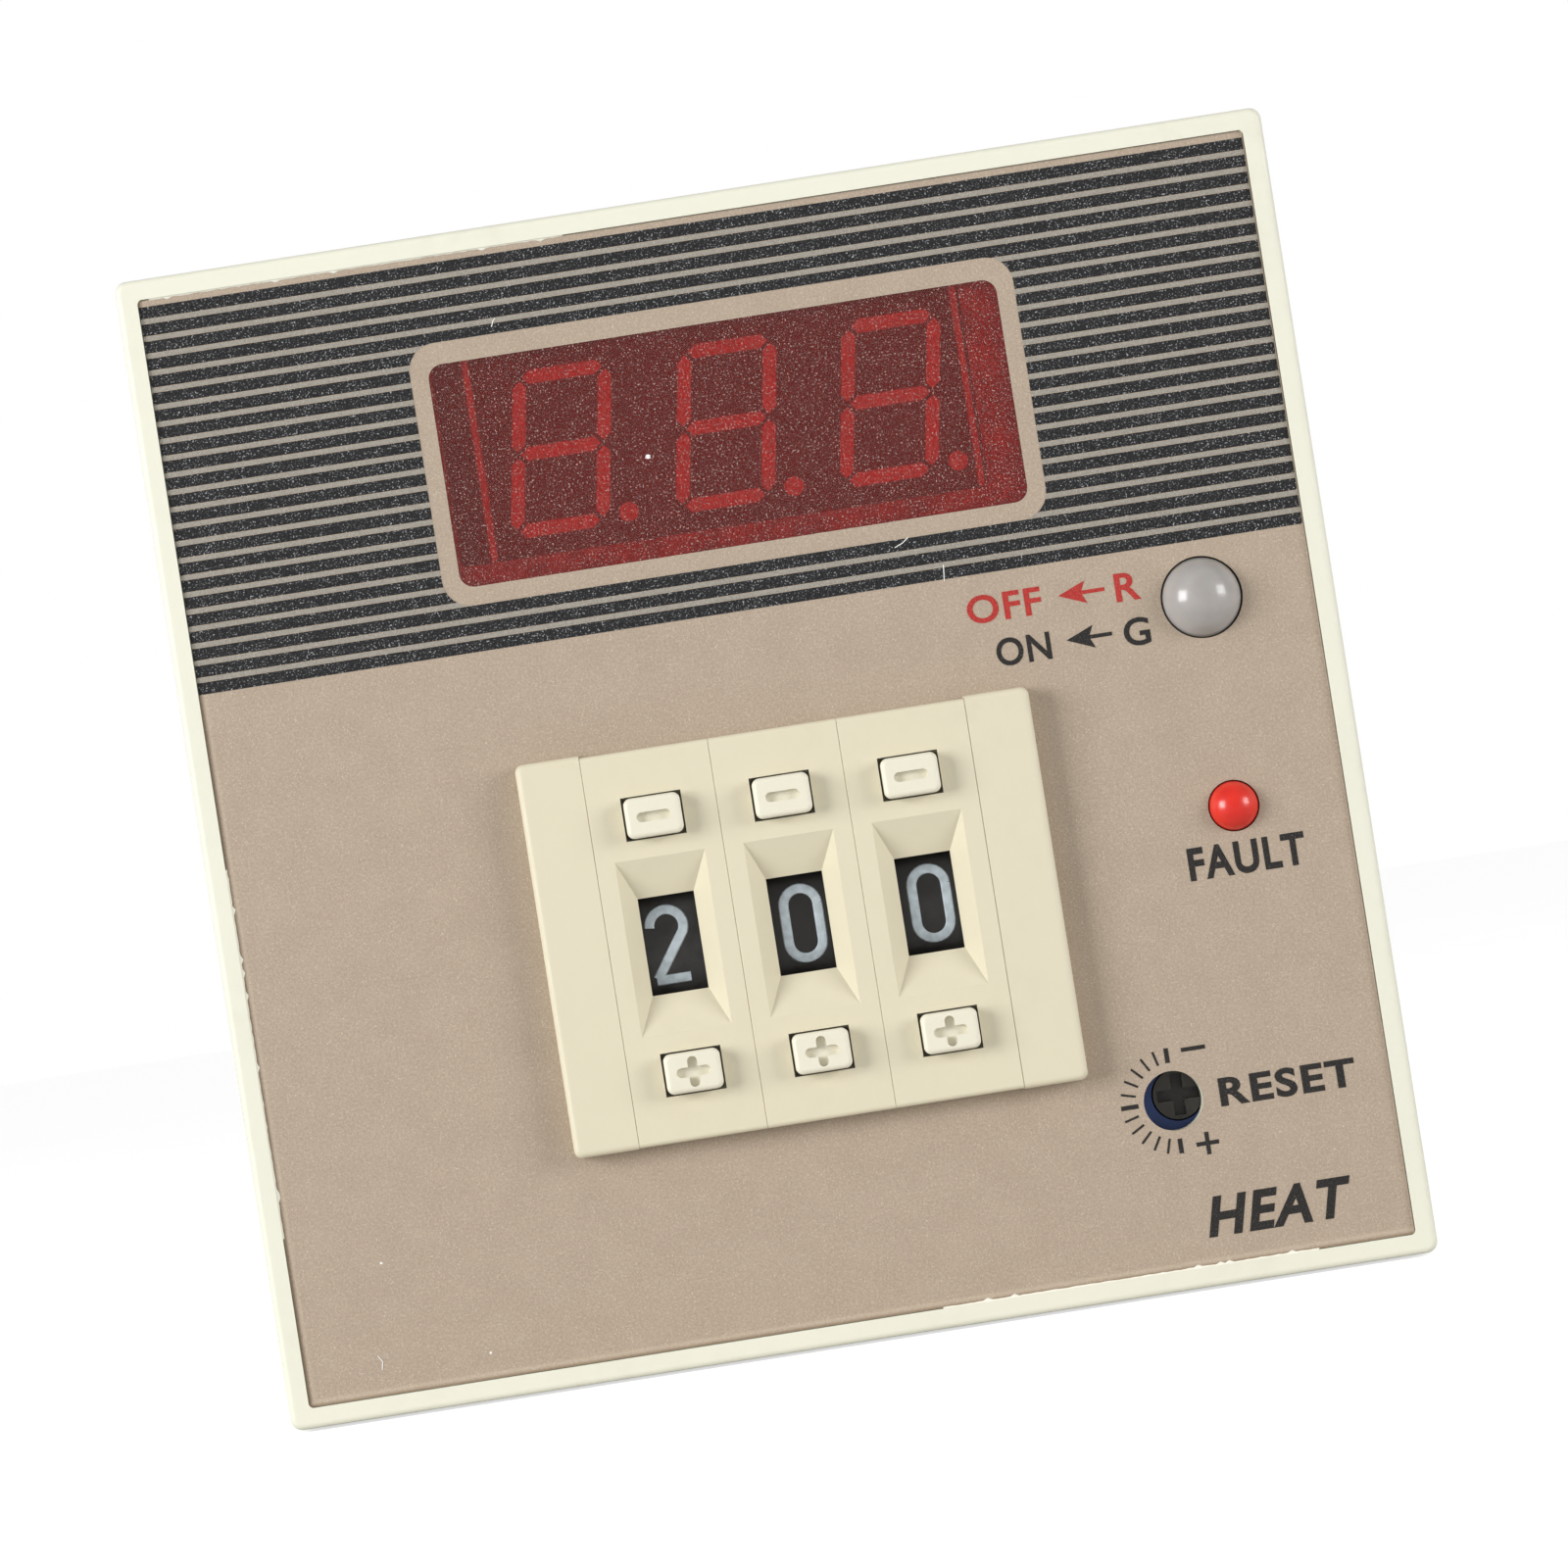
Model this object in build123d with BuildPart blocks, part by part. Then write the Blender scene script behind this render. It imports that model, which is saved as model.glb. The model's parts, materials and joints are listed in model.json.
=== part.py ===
from build123d import *
import os
from math import cos, pi, radians, sin, tan

os.makedirs("parts", exist_ok=True)

# Panel temperature controller, 72 x 72 mm front, for a 68 x 68 mm panel cut-out.
# Frame: +X to the right and +Z up as seen from the front, +Y into the panel.
# Origin: middle of the panel cut-out, in the plane of the panel's front (y = 0).

# ---------------------------------------------------------------- driving dimensions
BEZEL = 72.0              # outside of the front frame, square
BEZEL_DEPTH = 8.0         # how far the front frame stands out of the panel
BEZEL_DRAFT = 1.4         # degrees of draft on its sides
RIM_INNER = 69.1          # square recess that the printed front film lies in
FILM = 69.0
FILM_THICK = 0.3
FILM_DEPTH = 0.2          # film front below the bezel's front edge
WALL = 2.0                # bezel's front wall

CASE = 67.0               # outside of the case, square
CASE_WALL = 1.8
CASE_DEPTH = 92.0
REBATE = 0.5              # the case's front edge lies this deep in the bezel's back
SKIRT = 63.2              # bezel's skirt, a slide fit in the case
SKIRT_WALL = 1.45
SKIRT_DEPTH = 9.0

WINDOW_C = (0.23, 20.86)  # red window: centre and size
WINDOW = (35.5, 13.9)
WINDOW_R = 0.9
DISPLAY_C = (0.05, 21.65) # three-digit module
DISPLAY = (30.9, 12.7, 7.0)
DIGIT_XS = (-10.1, 0.24, 10.5)
SEGMENT_W = 0.85
DIGIT_HALF_W = 2.67       # centre of the verticals from the digit's centre
DIGIT_BAR = 4.7           # from one horizontal segment to the next
DIGIT_SLANT = 9.5         # degrees

LAMP_C = (27.58, 6.37)
LAMP_R = 2.5
FAULT_C = (27.54, -6.67)
FAULT_R = 1.55
LAMP_GAP = 0.05
TRIM_HOLE_C = (21.03, -24.1)
TRIM_HOLE_R = 1.85
TRIM_C = (21.5, -23.8)

SWITCH_Z = -9.72          # middle of the pushwheel block
MODULE_PITCH = 8.0
SEAM = 0.02               # between neighbouring modules
SEAM_CHAMFER = 0.04
MODULE_W = MODULE_PITCH - SEAM
MODULE_H = 24.3           # flange on the film
BODY_H = 22.0             # body through the bezel
SWITCH_FRONT = -9.5
SWITCH_REAR = 14.0
END_CAP_H = 24.5
END_CAP_OUT = 16.0        # outer side of each end cap
END_CAP_BODY = 15.2
CAP_CORNER = 0.5
MODULES = {"1": -MODULE_PITCH, "2": 0.0, "3": MODULE_PITCH}

WHEEL_R = 9.2
WHEEL_Y = 1.55            # wheel axis behind the panel plane
PIN_R = 1.0
BUTTON_OFF = 7.95         # buttons above and below the middle of the block
BUTTON = (3.5, 2.5)
BUTTON_FRONT = -10.7
SIGN = (2.1, 0.6, 0.45)   # engraved signs: length, width and depth
FIT = 0.05                # radial clearance of pins in their bores

BLOCK_Y = CASE_DEPTH      # terminal block: plate, then barriers
PLATE = 3.0
BARRIER_REAR = 102.4
TERMINALS = 6
TERMINAL_PITCH = 9.6
TERMINAL_Z = 27.0
CASE_SCREW = (28.7, 15.0)

BOARD_Z = 24.8            # middle of each long circuit board, above and below
BOARD_T = 1.6
BOARD_HALF = 29.6
BOARD_Y = (4.0, 88.0)

SCREW_X = 35.9            # jack screw axis beside the case
SCREW_R = 1.5
SCREW_ROOM = 0.25         # between the screw and the flats of its square hole
BRACKET_Y = (66.0, 86.0)
FOOT_Y = (60.0, 64.0)
SCREW_HEAD_Y = (99.0, 101.0)
SCREW_HEAD_R = 2.2

# ---------------------------------------------------------------- derived
FILM_FRONT = -BEZEL_DEPTH + FILM_DEPTH
FILM_BACK = FILM_FRONT + FILM_THICK
WALL_BACK = FILM_BACK + WALL
CASE_IN = CASE / 2 - CASE_WALL
FILTER_SEAT = 0.8         # depth of the recess that the red window lies in
FILTER_THICK = 0.75       # its flange, on a thin line of glue
DISPLAY_FRONT = FILM_BACK + FILTER_SEAT + 0.2
FRONT_BOARD_Y = DISPLAY_FRONT + DISPLAY[2]
SWITCH_WALL_BACK = SWITCH_FRONT + 1.6
FLANGE_Y = SWITCH_WALL_BACK + FIT
SEAT_Y = -3.95            # front of the seats that hold the button springs


def across(y):
    """Plane across the instrument at depth y, facing the front: local x right, local y up."""
    return Plane.XZ.offset(-y)


def sideways(x):
    """Plane along the instrument at x: local x runs to the rear, local y up."""
    return Plane.YZ.offset(x)


# ---------------------------------------------------------------- front frame and film
STAKE_XZ = 28.0
PUSH_CUT = (30.8, 22.4)
WEDGE_Y = (5.2, 7.4)      # snap wedges on the skirt
WEDGE_H = 1.2
WEDGE_W = 7.6
WEDGE_X = 16.2

with BuildPart() as bezel:
    with BuildSketch(across(0)):
        RectangleRounded(BEZEL, BEZEL, 0.9)
    extrude(amount=BEZEL_DEPTH, taper=BEZEL_DRAFT)
    fillet(bezel.faces().sort_by(Axis.Y)[0].edges(), 0.4)
    # skirt that slides into the case, with four snap wedges
    with BuildSketch(across(0)):
        RectangleRounded(SKIRT, SKIRT, 1.0)
    extrude(amount=-SKIRT_DEPTH)
    for x in (-WEDGE_X, WEDGE_X):
        with BuildSketch(sideways(x - WEDGE_W / 2)):
            for side in (1, -1):
                with BuildLine():
                    Polyline(
                        (WEDGE_Y[0], side * SKIRT / 2),
                        (WEDGE_Y[0], side * (SKIRT / 2 + WEDGE_H)),
                        (WEDGE_Y[1], side * SKIRT / 2), close=True,
                    )
                make_face()
        extrude(amount=WEDGE_W)
    # rebate that the case's front edge lies in
    with BuildSketch(across(-REBATE)):
        RectangleRounded(CASE + 0.1, CASE + 0.1, 1.2)
        RectangleRounded(SKIRT, SKIRT, 1.0, mode=Mode.SUBTRACT)
    extrude(amount=-REBATE, mode=Mode.SUBTRACT)
    # hollow behind the front wall
    with BuildSketch(across(SKIRT_DEPTH)):
        RectangleRounded(SKIRT - 2 * SKIRT_WALL, SKIRT - 2 * SKIRT_WALL, 0.6)
    extrude(amount=SKIRT_DEPTH - WALL_BACK, mode=Mode.SUBTRACT)
    # recess for the film and, deeper, for the flange of the red window
    with BuildSketch(across(-BEZEL_DEPTH)):
        RectangleRounded(RIM_INNER, RIM_INNER, 0.3)
    extrude(amount=-(FILM_DEPTH + FILM_THICK), mode=Mode.SUBTRACT)
    with BuildSketch(across(FILM_BACK)):
        with Locations(WINDOW_C):
            RectangleRounded(WINDOW[0] + 2.2, WINDOW[1] + 2.2, 1.5)
    extrude(amount=-FILTER_SEAT, mode=Mode.SUBTRACT)
    # openings for the display, the pushwheels, the two lamps and the trimmer
    with BuildSketch(across(FILM_BACK)):
        with Locations((-0.8, 21.75)):
            RectangleRounded(33.0, 13.1, 0.4)
        with Locations((0, SWITCH_Z)):
            Rectangle(*PUSH_CUT)
        with Locations(LAMP_C):
            Circle(LAMP_R + LAMP_GAP)
        with Locations(FAULT_C):
            Circle(FAULT_R + LAMP_GAP)
        with Locations(TRIM_HOLE_C):
            Circle(TRIM_HOLE_R)
    extrude(amount=-WALL, mode=Mode.SUBTRACT)
    # four posts with stake heads that hold the front circuit board
    with BuildSketch(across(WALL_BACK)):
        with GridLocations(2 * STAKE_XZ, 2 * STAKE_XZ, 2, 2):
            Circle(2.4)
    extrude(amount=-(FRONT_BOARD_Y - WALL_BACK))
    with BuildSketch(across(FRONT_BOARD_Y)):
        with GridLocations(2 * STAKE_XZ, 2 * STAKE_XZ, 2, 2):
            Circle(1.0)
    extrude(amount=-BOARD_T)
    with BuildSketch(across(FRONT_BOARD_Y + BOARD_T)):
        with GridLocations(2 * STAKE_XZ, 2 * STAKE_XZ, 2, 2):
            Circle(1.7)
    extrude(amount=-0.7, taper=20)
bezel.part.label = "bezel"
export_step(bezel.part, "parts/bezel.step")

with BuildPart() as front_film:
    with BuildSketch(across(FILM_BACK)):
        Rectangle(FILM, FILM)
        with Locations(WINDOW_C):
            RectangleRounded(*WINDOW, WINDOW_R, mode=Mode.SUBTRACT)
        with Locations((0, SWITCH_Z)):
            Rectangle(*PUSH_CUT, mode=Mode.SUBTRACT)
        with Locations(LAMP_C):
            Circle(LAMP_R + LAMP_GAP, mode=Mode.SUBTRACT)
        with Locations(FAULT_C):
            Circle(FAULT_R + LAMP_GAP, mode=Mode.SUBTRACT)
        with Locations(TRIM_HOLE_C):
            Circle(TRIM_HOLE_R, mode=Mode.SUBTRACT)
    extrude(amount=FILM_THICK)
front_film.part.label = "front_film"
export_step(front_film.part, "parts/front_film.step")

with BuildPart() as window_filter:
    with BuildSketch(across(FILM_BACK + FILTER_THICK)):
        with Locations(WINDOW_C):
            RectangleRounded(WINDOW[0] + 2.0, WINDOW[1] + 2.0, 1.4)
    extrude(amount=FILTER_THICK)
    # raised pane, level with the film
    with BuildSketch(across(FILM_BACK)):
        with Locations(WINDOW_C):
            RectangleRounded(WINDOW[0], WINDOW[1], WINDOW_R)
    extrude(amount=FILM_THICK)
window_filter.part.label = "window_filter"
export_step(window_filter.part, "parts/window_filter.step")


# ---------------------------------------------------------------- three-digit display
def slanted(digit_x, x, z):
    """Point of a digit, leaning to the right by the slant angle."""
    return (digit_x + x + z * tan(radians(DIGIT_SLANT)), DISPLAY_C[1] - 0.1 + z)


def bar(digit_x, x, z, length, upright):
    """Outline of one segment about (x, z): a bar with mitred ends, lying or upright."""
    half, mitre = length / 2, SEGMENT_W / 2
    ends = [(-half, 0), (-half + mitre, mitre), (half - mitre, mitre)]
    ends += [(half, 0), (half - mitre, -mitre), (-half + mitre, -mitre)]
    if upright:
        ends = [(v, u) for u, v in ends]
    return [slanted(digit_x, x + u, z + v) for u, v in ends]


SEGMENT_GAP = 0.35
LYING = 2 * DIGIT_HALF_W - SEGMENT_GAP
UPRIGHT = DIGIT_BAR - SEGMENT_GAP

with BuildSketch(across(DISPLAY_FRONT)) as segment_faces:
    for digit_x in DIGIT_XS:
        outlines = [bar(digit_x, 0, z, LYING, False) for z in (-DIGIT_BAR, 0, DIGIT_BAR)]
        for x in (-DIGIT_HALF_W, DIGIT_HALF_W):
            outlines += [bar(digit_x, x, z, UPRIGHT, True) for z in (-DIGIT_BAR / 2, DIGIT_BAR / 2)]
        for outline in outlines:
            with BuildLine():
                Polyline(*outline, close=True)
            make_face()
        with Locations(slanted(digit_x, 4.3, -DIGIT_BAR + 0.2)):
            Circle(0.6)

SEGMENT_DEPTH = 0.5

with BuildPart() as display_body:
    with BuildSketch(across(DISPLAY_FRONT)):
        with Locations(DISPLAY_C):
            Rectangle(DISPLAY[0], DISPLAY[1])
    extrude(amount=-DISPLAY[2])
    extrude(to_extrude=segment_faces.sketch, amount=-SEGMENT_DEPTH, mode=Mode.SUBTRACT)
display_body.part.label = "display_body"
export_step(display_body.part, "parts/display_body.step")

with BuildPart() as display_segments:
    extrude(to_extrude=segment_faces.sketch, amount=-SEGMENT_DEPTH)
display_segments.part.label = "display_segments"
export_step(display_segments.part, "parts/display_segments.step")

# ---------------------------------------------------------------- lamps and trimmer
LAMP_TIP = -9.6
LAMP_BASE = -0.9
FAULT_TIP = -9.0
FAULT_BASE = -3.9


def lamp_profile(radius, tip, base, flange_r):
    """Half section of a round-nosed lamp, from its axis outwards, in (r, y)."""
    shoulder = tip + radius
    with BuildLine() as line:
        nose = RadiusArc((0, tip), (radius, shoulder), -radius)
        Polyline(
            nose @ 1, (radius, base - 1.0), (flange_r, base - 1.0), (flange_r, base), (0, base),
            (0, tip),
        )
    return line.wires()[0]


with BuildPart() as status_lamp:
    with BuildSketch(Plane.XY):
        make_face(lamp_profile(LAMP_R, LAMP_TIP, LAMP_BASE, 2.9).edges())
    revolve(axis=Axis.Y)
    # flat on the flange that marks the lamp's negative lead
    with Locations((LAMP_R + 0.5, LAMP_BASE - 0.5, 0)):
        Box(1.0, 1.0, 6.0, mode=Mode.SUBTRACT)
status_lamp.part.label = "status_lamp"
status_lamp.part.position = (LAMP_C[0], 0, LAMP_C[1])
export_step(status_lamp.part, "parts/status_lamp.step")

with BuildPart() as fault_lamp:
    with BuildSketch(Plane.XY):
        make_face(lamp_profile(FAULT_R, FAULT_TIP, FAULT_BASE, 1.9).edges())
    revolve(axis=Axis.Y)
fault_lamp.part.label = "fault_lamp"
fault_lamp.part.position = (FAULT_C[0], 0, FAULT_C[1])
export_step(fault_lamp.part, "parts/fault_lamp.step")

TRIM_BODY = 6.8
TRIM_FRONT = WALL_BACK + 0.3
TRIM_REAR = 0.0
ROTOR_R = 1.55
ROTOR_DEPTH = 2.0
ROTOR_SLOT = (2.6, 0.7)

with BuildPart() as trimmer_body:
    with BuildSketch(across(TRIM_FRONT)):
        with Locations(TRIM_C):
            Rectangle(TRIM_BODY, TRIM_BODY)
    extrude(amount=-(TRIM_REAR - TRIM_FRONT))
    chamfer(trimmer_body.edges().filter_by(Axis.Y), 0.4)
    # socket and bearing bore for the rotor
    with BuildSketch(across(TRIM_FRONT)):
        with Locations(TRIM_C):
            Circle(ROTOR_R + 0.1)
    extrude(amount=-ROTOR_DEPTH, mode=Mode.SUBTRACT)
    with BuildSketch(across(TRIM_FRONT)):
        with Locations(TRIM_C):
            Circle(0.8 + FIT)
    extrude(amount=-(ROTOR_DEPTH + 2.0), mode=Mode.SUBTRACT)
    # feet that stand on the board
    with BuildSketch(across(TRIM_REAR)):
        with Locations(TRIM_C):
            with GridLocations(5.2, 5.2, 2, 2):
                Rectangle(1.0, 1.0)
    extrude(amount=-(FRONT_BOARD_Y - TRIM_REAR))
trimmer_body.part.label = "trimmer_body"
export_step(trimmer_body.part, "parts/trimmer_body.step")

with BuildPart() as trimmer_rotor:
    with BuildSketch(across(TRIM_FRONT + ROTOR_DEPTH - 0.1)):
        with Locations(TRIM_C):
            Circle(ROTOR_R)
    extrude(amount=ROTOR_DEPTH - 0.1)
    with BuildSketch(across(TRIM_FRONT + ROTOR_DEPTH - 0.1)):
        with Locations(TRIM_C):
            Circle(0.8)
    extrude(amount=-1.8)
    # cross slot for the screwdriver
    with BuildSketch(across(TRIM_FRONT)):
        with Locations(TRIM_C):
            Rectangle(*ROTOR_SLOT)
            Rectangle(*ROTOR_SLOT, rotation=90)
    extrude(amount=-0.8, mode=Mode.SUBTRACT)
trimmer_rotor.part.label = "trimmer_rotor"
export_step(trimmer_rotor.part, "parts/trimmer_rotor.step")

# ---------------------------------------------------------------- front board and leads
LEAD_R = 0.3
LEAD_END = FRONT_BOARD_Y + BOARD_T + 1.0
DISPLAY_PINS = [(DISPLAY_C[0] + x, DISPLAY_C[1] + z) for x in (-12.7, -7.62, -2.54, 2.54, 7.62, 12.7)
                for z in (-5.08, 5.08)]
LAMP_LEADS = [(LAMP_C[0], LAMP_C[1] + z) for z in (-1.27, 0, 1.27)]
FAULT_LEADS = [(FAULT_C[0], FAULT_C[1] + z) for z in (-0.9, 0.9)]
TRIM_LEADS = [(TRIM_C[0] + x, TRIM_C[1] + z) for x, z in ((-2.5, 0), (0, 2.5), (2.5, 0))]
LEADS = [(DISPLAY_PINS, FRONT_BOARD_Y), (LAMP_LEADS, LAMP_BASE), (FAULT_LEADS, FAULT_BASE),
         (TRIM_LEADS, TRIM_REAR)]

with BuildPart() as front_board:
    with BuildSketch(across(FRONT_BOARD_Y)):
        Rectangle(2 * 29.9, 2 * 29.9)
        with Locations((0, SWITCH_Z)):
            Rectangle(2 * END_CAP_BODY + 0.8, BODY_H + 0.6, mode=Mode.SUBTRACT)
        with GridLocations(2 * STAKE_XZ, 2 * STAKE_XZ, 2, 2):
            Circle(1.1, mode=Mode.SUBTRACT)
        for spots, start in LEADS:
            with Locations(*spots):
                Circle(LEAD_R + 0.1, mode=Mode.SUBTRACT)
    extrude(amount=-BOARD_T)
front_board.part.label = "front_board"
export_step(front_board.part, "parts/front_board.step")

with BuildPart() as component_leads:
    for spots, start in LEADS:
        with BuildSketch(across(start)):
            with Locations(*spots):
                Circle(LEAD_R)
        extrude(amount=-(LEAD_END - start))
component_leads.part.label = "component_leads"
export_step(component_leads.part, "parts/component_leads.step")

# ---------------------------------------------------------------- pushwheel switches
FUNNEL = (5.6, 10.9)      # mouth of the recess around each digit
DIGIT_WINDOW = (3.5, 6.05)
FUNNEL_DEPTH = 1.3
BUTTON_HOLE = (3.75, 2.7)
BODY_CAVITY = (6.2, 20.4) # width and height inside a switch body
ROD_YZ = (12.2, 9.2)      # tie rods: y, and z above and below the middle
ROD_R = 0.8
DRUM_X = (-2.2, 2.0)
RATCHET_X = 2.9
RATCHET_R = 6.6
BOARD_SIDE = (-3.1, -2.6) # coded board beside each wheel
DIGITS = 10

for name, x in MODULES.items():
    with BuildPart() as switch_housing:
        with BuildSketch(across(SWITCH_FRONT)):
            with Locations((x, SWITCH_Z)):
                Rectangle(MODULE_W, MODULE_H)
        extrude(amount=-(FILM_FRONT - SWITCH_FRONT))
        chamfer(switch_housing.faces().sort_by(Axis.Y)[0].edges().filter_by(Axis.Z), SEAM_CHAMFER)
        fillet(switch_housing.faces().sort_by(Axis.Y)[0].edges().filter_by(Axis.X), 0.3)
        with BuildSketch(across(FILM_FRONT)):
            with Locations((x, SWITCH_Z)):
                Rectangle(MODULE_W, BODY_H)
        extrude(amount=-(SWITCH_REAR - FILM_FRONT))
        # room for the wheel, open at the rear
        with BuildSketch(across(SWITCH_REAR)):
            with Locations((x, SWITCH_Z)):
                Rectangle(*BODY_CAVITY)
        extrude(amount=SWITCH_REAR - SWITCH_WALL_BACK, mode=Mode.SUBTRACT)
        # seats for the button springs
        with BuildSketch(across(SEAT_Y)):
            for side in (1, -1):
                with Locations((x, SWITCH_Z + side * 9.15)):
                    Rectangle(BODY_CAVITY[0], 2.3)
        extrude(amount=-0.55)
        # tapered recess and window in front of the digit
        with BuildSketch(across(SWITCH_FRONT)):
            with Locations((x, SWITCH_Z)):
                Rectangle(*FUNNEL)
        with BuildSketch(across(SWITCH_FRONT + FUNNEL_DEPTH)):
            with Locations((x, SWITCH_Z)):
                Rectangle(*DIGIT_WINDOW)
        loft(mode=Mode.SUBTRACT)
        with BuildSketch(across(SWITCH_FRONT + FUNNEL_DEPTH)):
            with Locations((x, SWITCH_Z)):
                Rectangle(*DIGIT_WINDOW)
        extrude(amount=-1.0, mode=Mode.SUBTRACT)
        # openings for the two buttons
        with BuildSketch(across(SWITCH_FRONT)):
            with Locations((x, SWITCH_Z + BUTTON_OFF), (x, SWITCH_Z - BUTTON_OFF)):
                Rectangle(*BUTTON_HOLE)
        extrude(amount=-2.0, mode=Mode.SUBTRACT)
        # bearing bores for the wheel and holes for the tie rods, through both side walls
        with BuildSketch(sideways(x - MODULE_W / 2)):
            with Locations((WHEEL_Y, SWITCH_Z)):
                Circle(PIN_R + FIT)
            for side in (1, -1):
                with Locations((ROD_YZ[0], SWITCH_Z + side * ROD_YZ[1])):
                    Circle(ROD_R + 0.1)
        extrude(amount=MODULE_W, mode=Mode.SUBTRACT)
    switch_housing.part.label = f"switch_housing_{name}"
    export_step(switch_housing.part, f"parts/switch_housing_{name}.step")

    with BuildPart() as digit_wheel:
        with BuildSketch(sideways(x + DRUM_X[0])):
            with Locations((WHEEL_Y, SWITCH_Z)):
                Circle(WHEEL_R)
        extrude(amount=DRUM_X[1] - DRUM_X[0])
        # ring-shaped pocket that leaves a rim, a web and a hub
        with BuildSketch(sideways(x + DRUM_X[0])):
            with Locations((WHEEL_Y, SWITCH_Z)):
                Circle(8.0)
                Circle(3.0, mode=Mode.SUBTRACT)
        extrude(amount=3.2, mode=Mode.SUBTRACT)
        # ratchet with one tooth for each digit
        with BuildSketch(sideways(x + DRUM_X[1])):
            teeth = []
            for step in range(DIGITS):
                for turn, radius in ((0, RATCHET_R), (0.5, RATCHET_R - 1.0)):
                    angle = 2 * pi * (step + turn) / DIGITS
                    teeth.append((WHEEL_Y + radius * cos(angle), SWITCH_Z + radius * sin(angle)))
            with BuildLine():
                Polyline(*teeth, close=True)
            make_face()
        extrude(amount=RATCHET_X - DRUM_X[1])
        # axle pins
        with BuildSketch(sideways(x - 3.75)):
            with Locations((WHEEL_Y, SWITCH_Z)):
                Circle(PIN_R)
        extrude(amount=7.5)
    digit_wheel.part.label = f"digit_wheel_{name}"
    export_step(digit_wheel.part, f"parts/digit_wheel_{name}.step")

    with BuildPart() as wiper:
        with BuildSketch(sideways(x + DRUM_X[0])):
            with Locations((WHEEL_Y, SWITCH_Z)):
                Circle(2.9)
                with PolarLocations(4.7, 3, start_angle=30):
                    Rectangle(5.2, 0.9)
                Circle(PIN_R + FIT, mode=Mode.SUBTRACT)
        extrude(amount=-0.15)
        with BuildSketch(sideways(x + DRUM_X[0] - 0.15)):
            with Locations((WHEEL_Y, SWITCH_Z)):
                with PolarLocations(6.8, 3, start_angle=30):
                    Circle(0.4)
        extrude(amount=-0.2, taper=20)
    wiper.part.label = f"wiper_{name}"
    export_step(wiper.part, f"parts/wiper_{name}.step")

    with BuildPart() as coded_board:
        with BuildSketch(sideways(x + BOARD_SIDE[0])):
            with Locations((4.0, SWITCH_Z)):
                Rectangle(13.0, 19.6)
            with Locations((16.0, SWITCH_Z)):
                Rectangle(12.0, 15.0)
            with Locations((WHEEL_Y, SWITCH_Z)):
                Circle(1.4, mode=Mode.SUBTRACT)
        extrude(amount=BOARD_SIDE[1] - BOARD_SIDE[0])
    coded_board.part.label = f"coded_board_{name}"
    export_step(coded_board.part, f"parts/coded_board_{name}.step")

    with BuildPart() as detent_spring:
        with BuildSketch(sideways(x + 2.3)):
            with Locations((8.95, SWITCH_Z)):
                Rectangle(0.3, BODY_CAVITY[1])
            with Locations((8.8, SWITCH_Z)):
                Circle(0.35)
        extrude(amount=0.6)
    detent_spring.part.label = f"detent_spring_{name}"
    export_step(detent_spring.part, f"parts/detent_spring_{name}.step")

    for sign, side in (("minus", 1), ("plus", -1)):
        button_z = SWITCH_Z + side * BUTTON_OFF
        with BuildPart() as button:
            with BuildSketch(across(BUTTON_FRONT)):
                with Locations((x, button_z)):
                    RectangleRounded(*BUTTON, 0.45)
            extrude(amount=-(FLANGE_Y - BUTTON_FRONT))
            fillet(button.faces().sort_by(Axis.Y)[0].edges(), 0.3)
            # engraved sign
            with BuildSketch(across(BUTTON_FRONT)):
                with Locations((x, button_z)):
                    SlotOverall(SIGN[0], SIGN[1])
                    if sign == "plus":
                        SlotOverall(0.9 * SIGN[0], SIGN[1], rotation=90)
            extrude(amount=-SIGN[2], mode=Mode.SUBTRACT)
            # flange behind the housing's front wall, and the pawl beside the ratchet
            with BuildSketch(across(FLANGE_Y)):
                with Locations((x + 0.25, button_z)):
                    Rectangle(5.2, 3.5)
            extrude(amount=-0.7)
            with BuildSketch(across(FLANGE_Y)):
                with Locations((x + 2.575, SWITCH_Z + side * 7.35)):
                    Rectangle(0.55, 0.8)
            extrude(amount=-6.2)
        button.part.label = f"{sign}_button_{name}"
        export_step(button.part, f"parts/{sign}_button_{name}.step")

        spring_start = FLANGE_Y + 0.8
        spring_z = SWITCH_Z + side * 8.95
        with BuildPart() as button_spring:
            with BuildLine(Plane.XY) as coil:
                Helix(pitch=0.6, height=SEAT_Y - 0.1 - spring_start, radius=0.7,
                      center=(x, spring_start, spring_z), direction=(0, 1, 0))
            with BuildSketch(Plane(coil.line @ 0, z_dir=coil.line % 0)):
                Circle(0.1)
            sweep(path=coil.line, is_frenet=True)
        button_spring.part.label = f"{sign}_spring_{name}"
        export_step(button_spring.part, f"parts/{sign}_spring_{name}.step")

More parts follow.
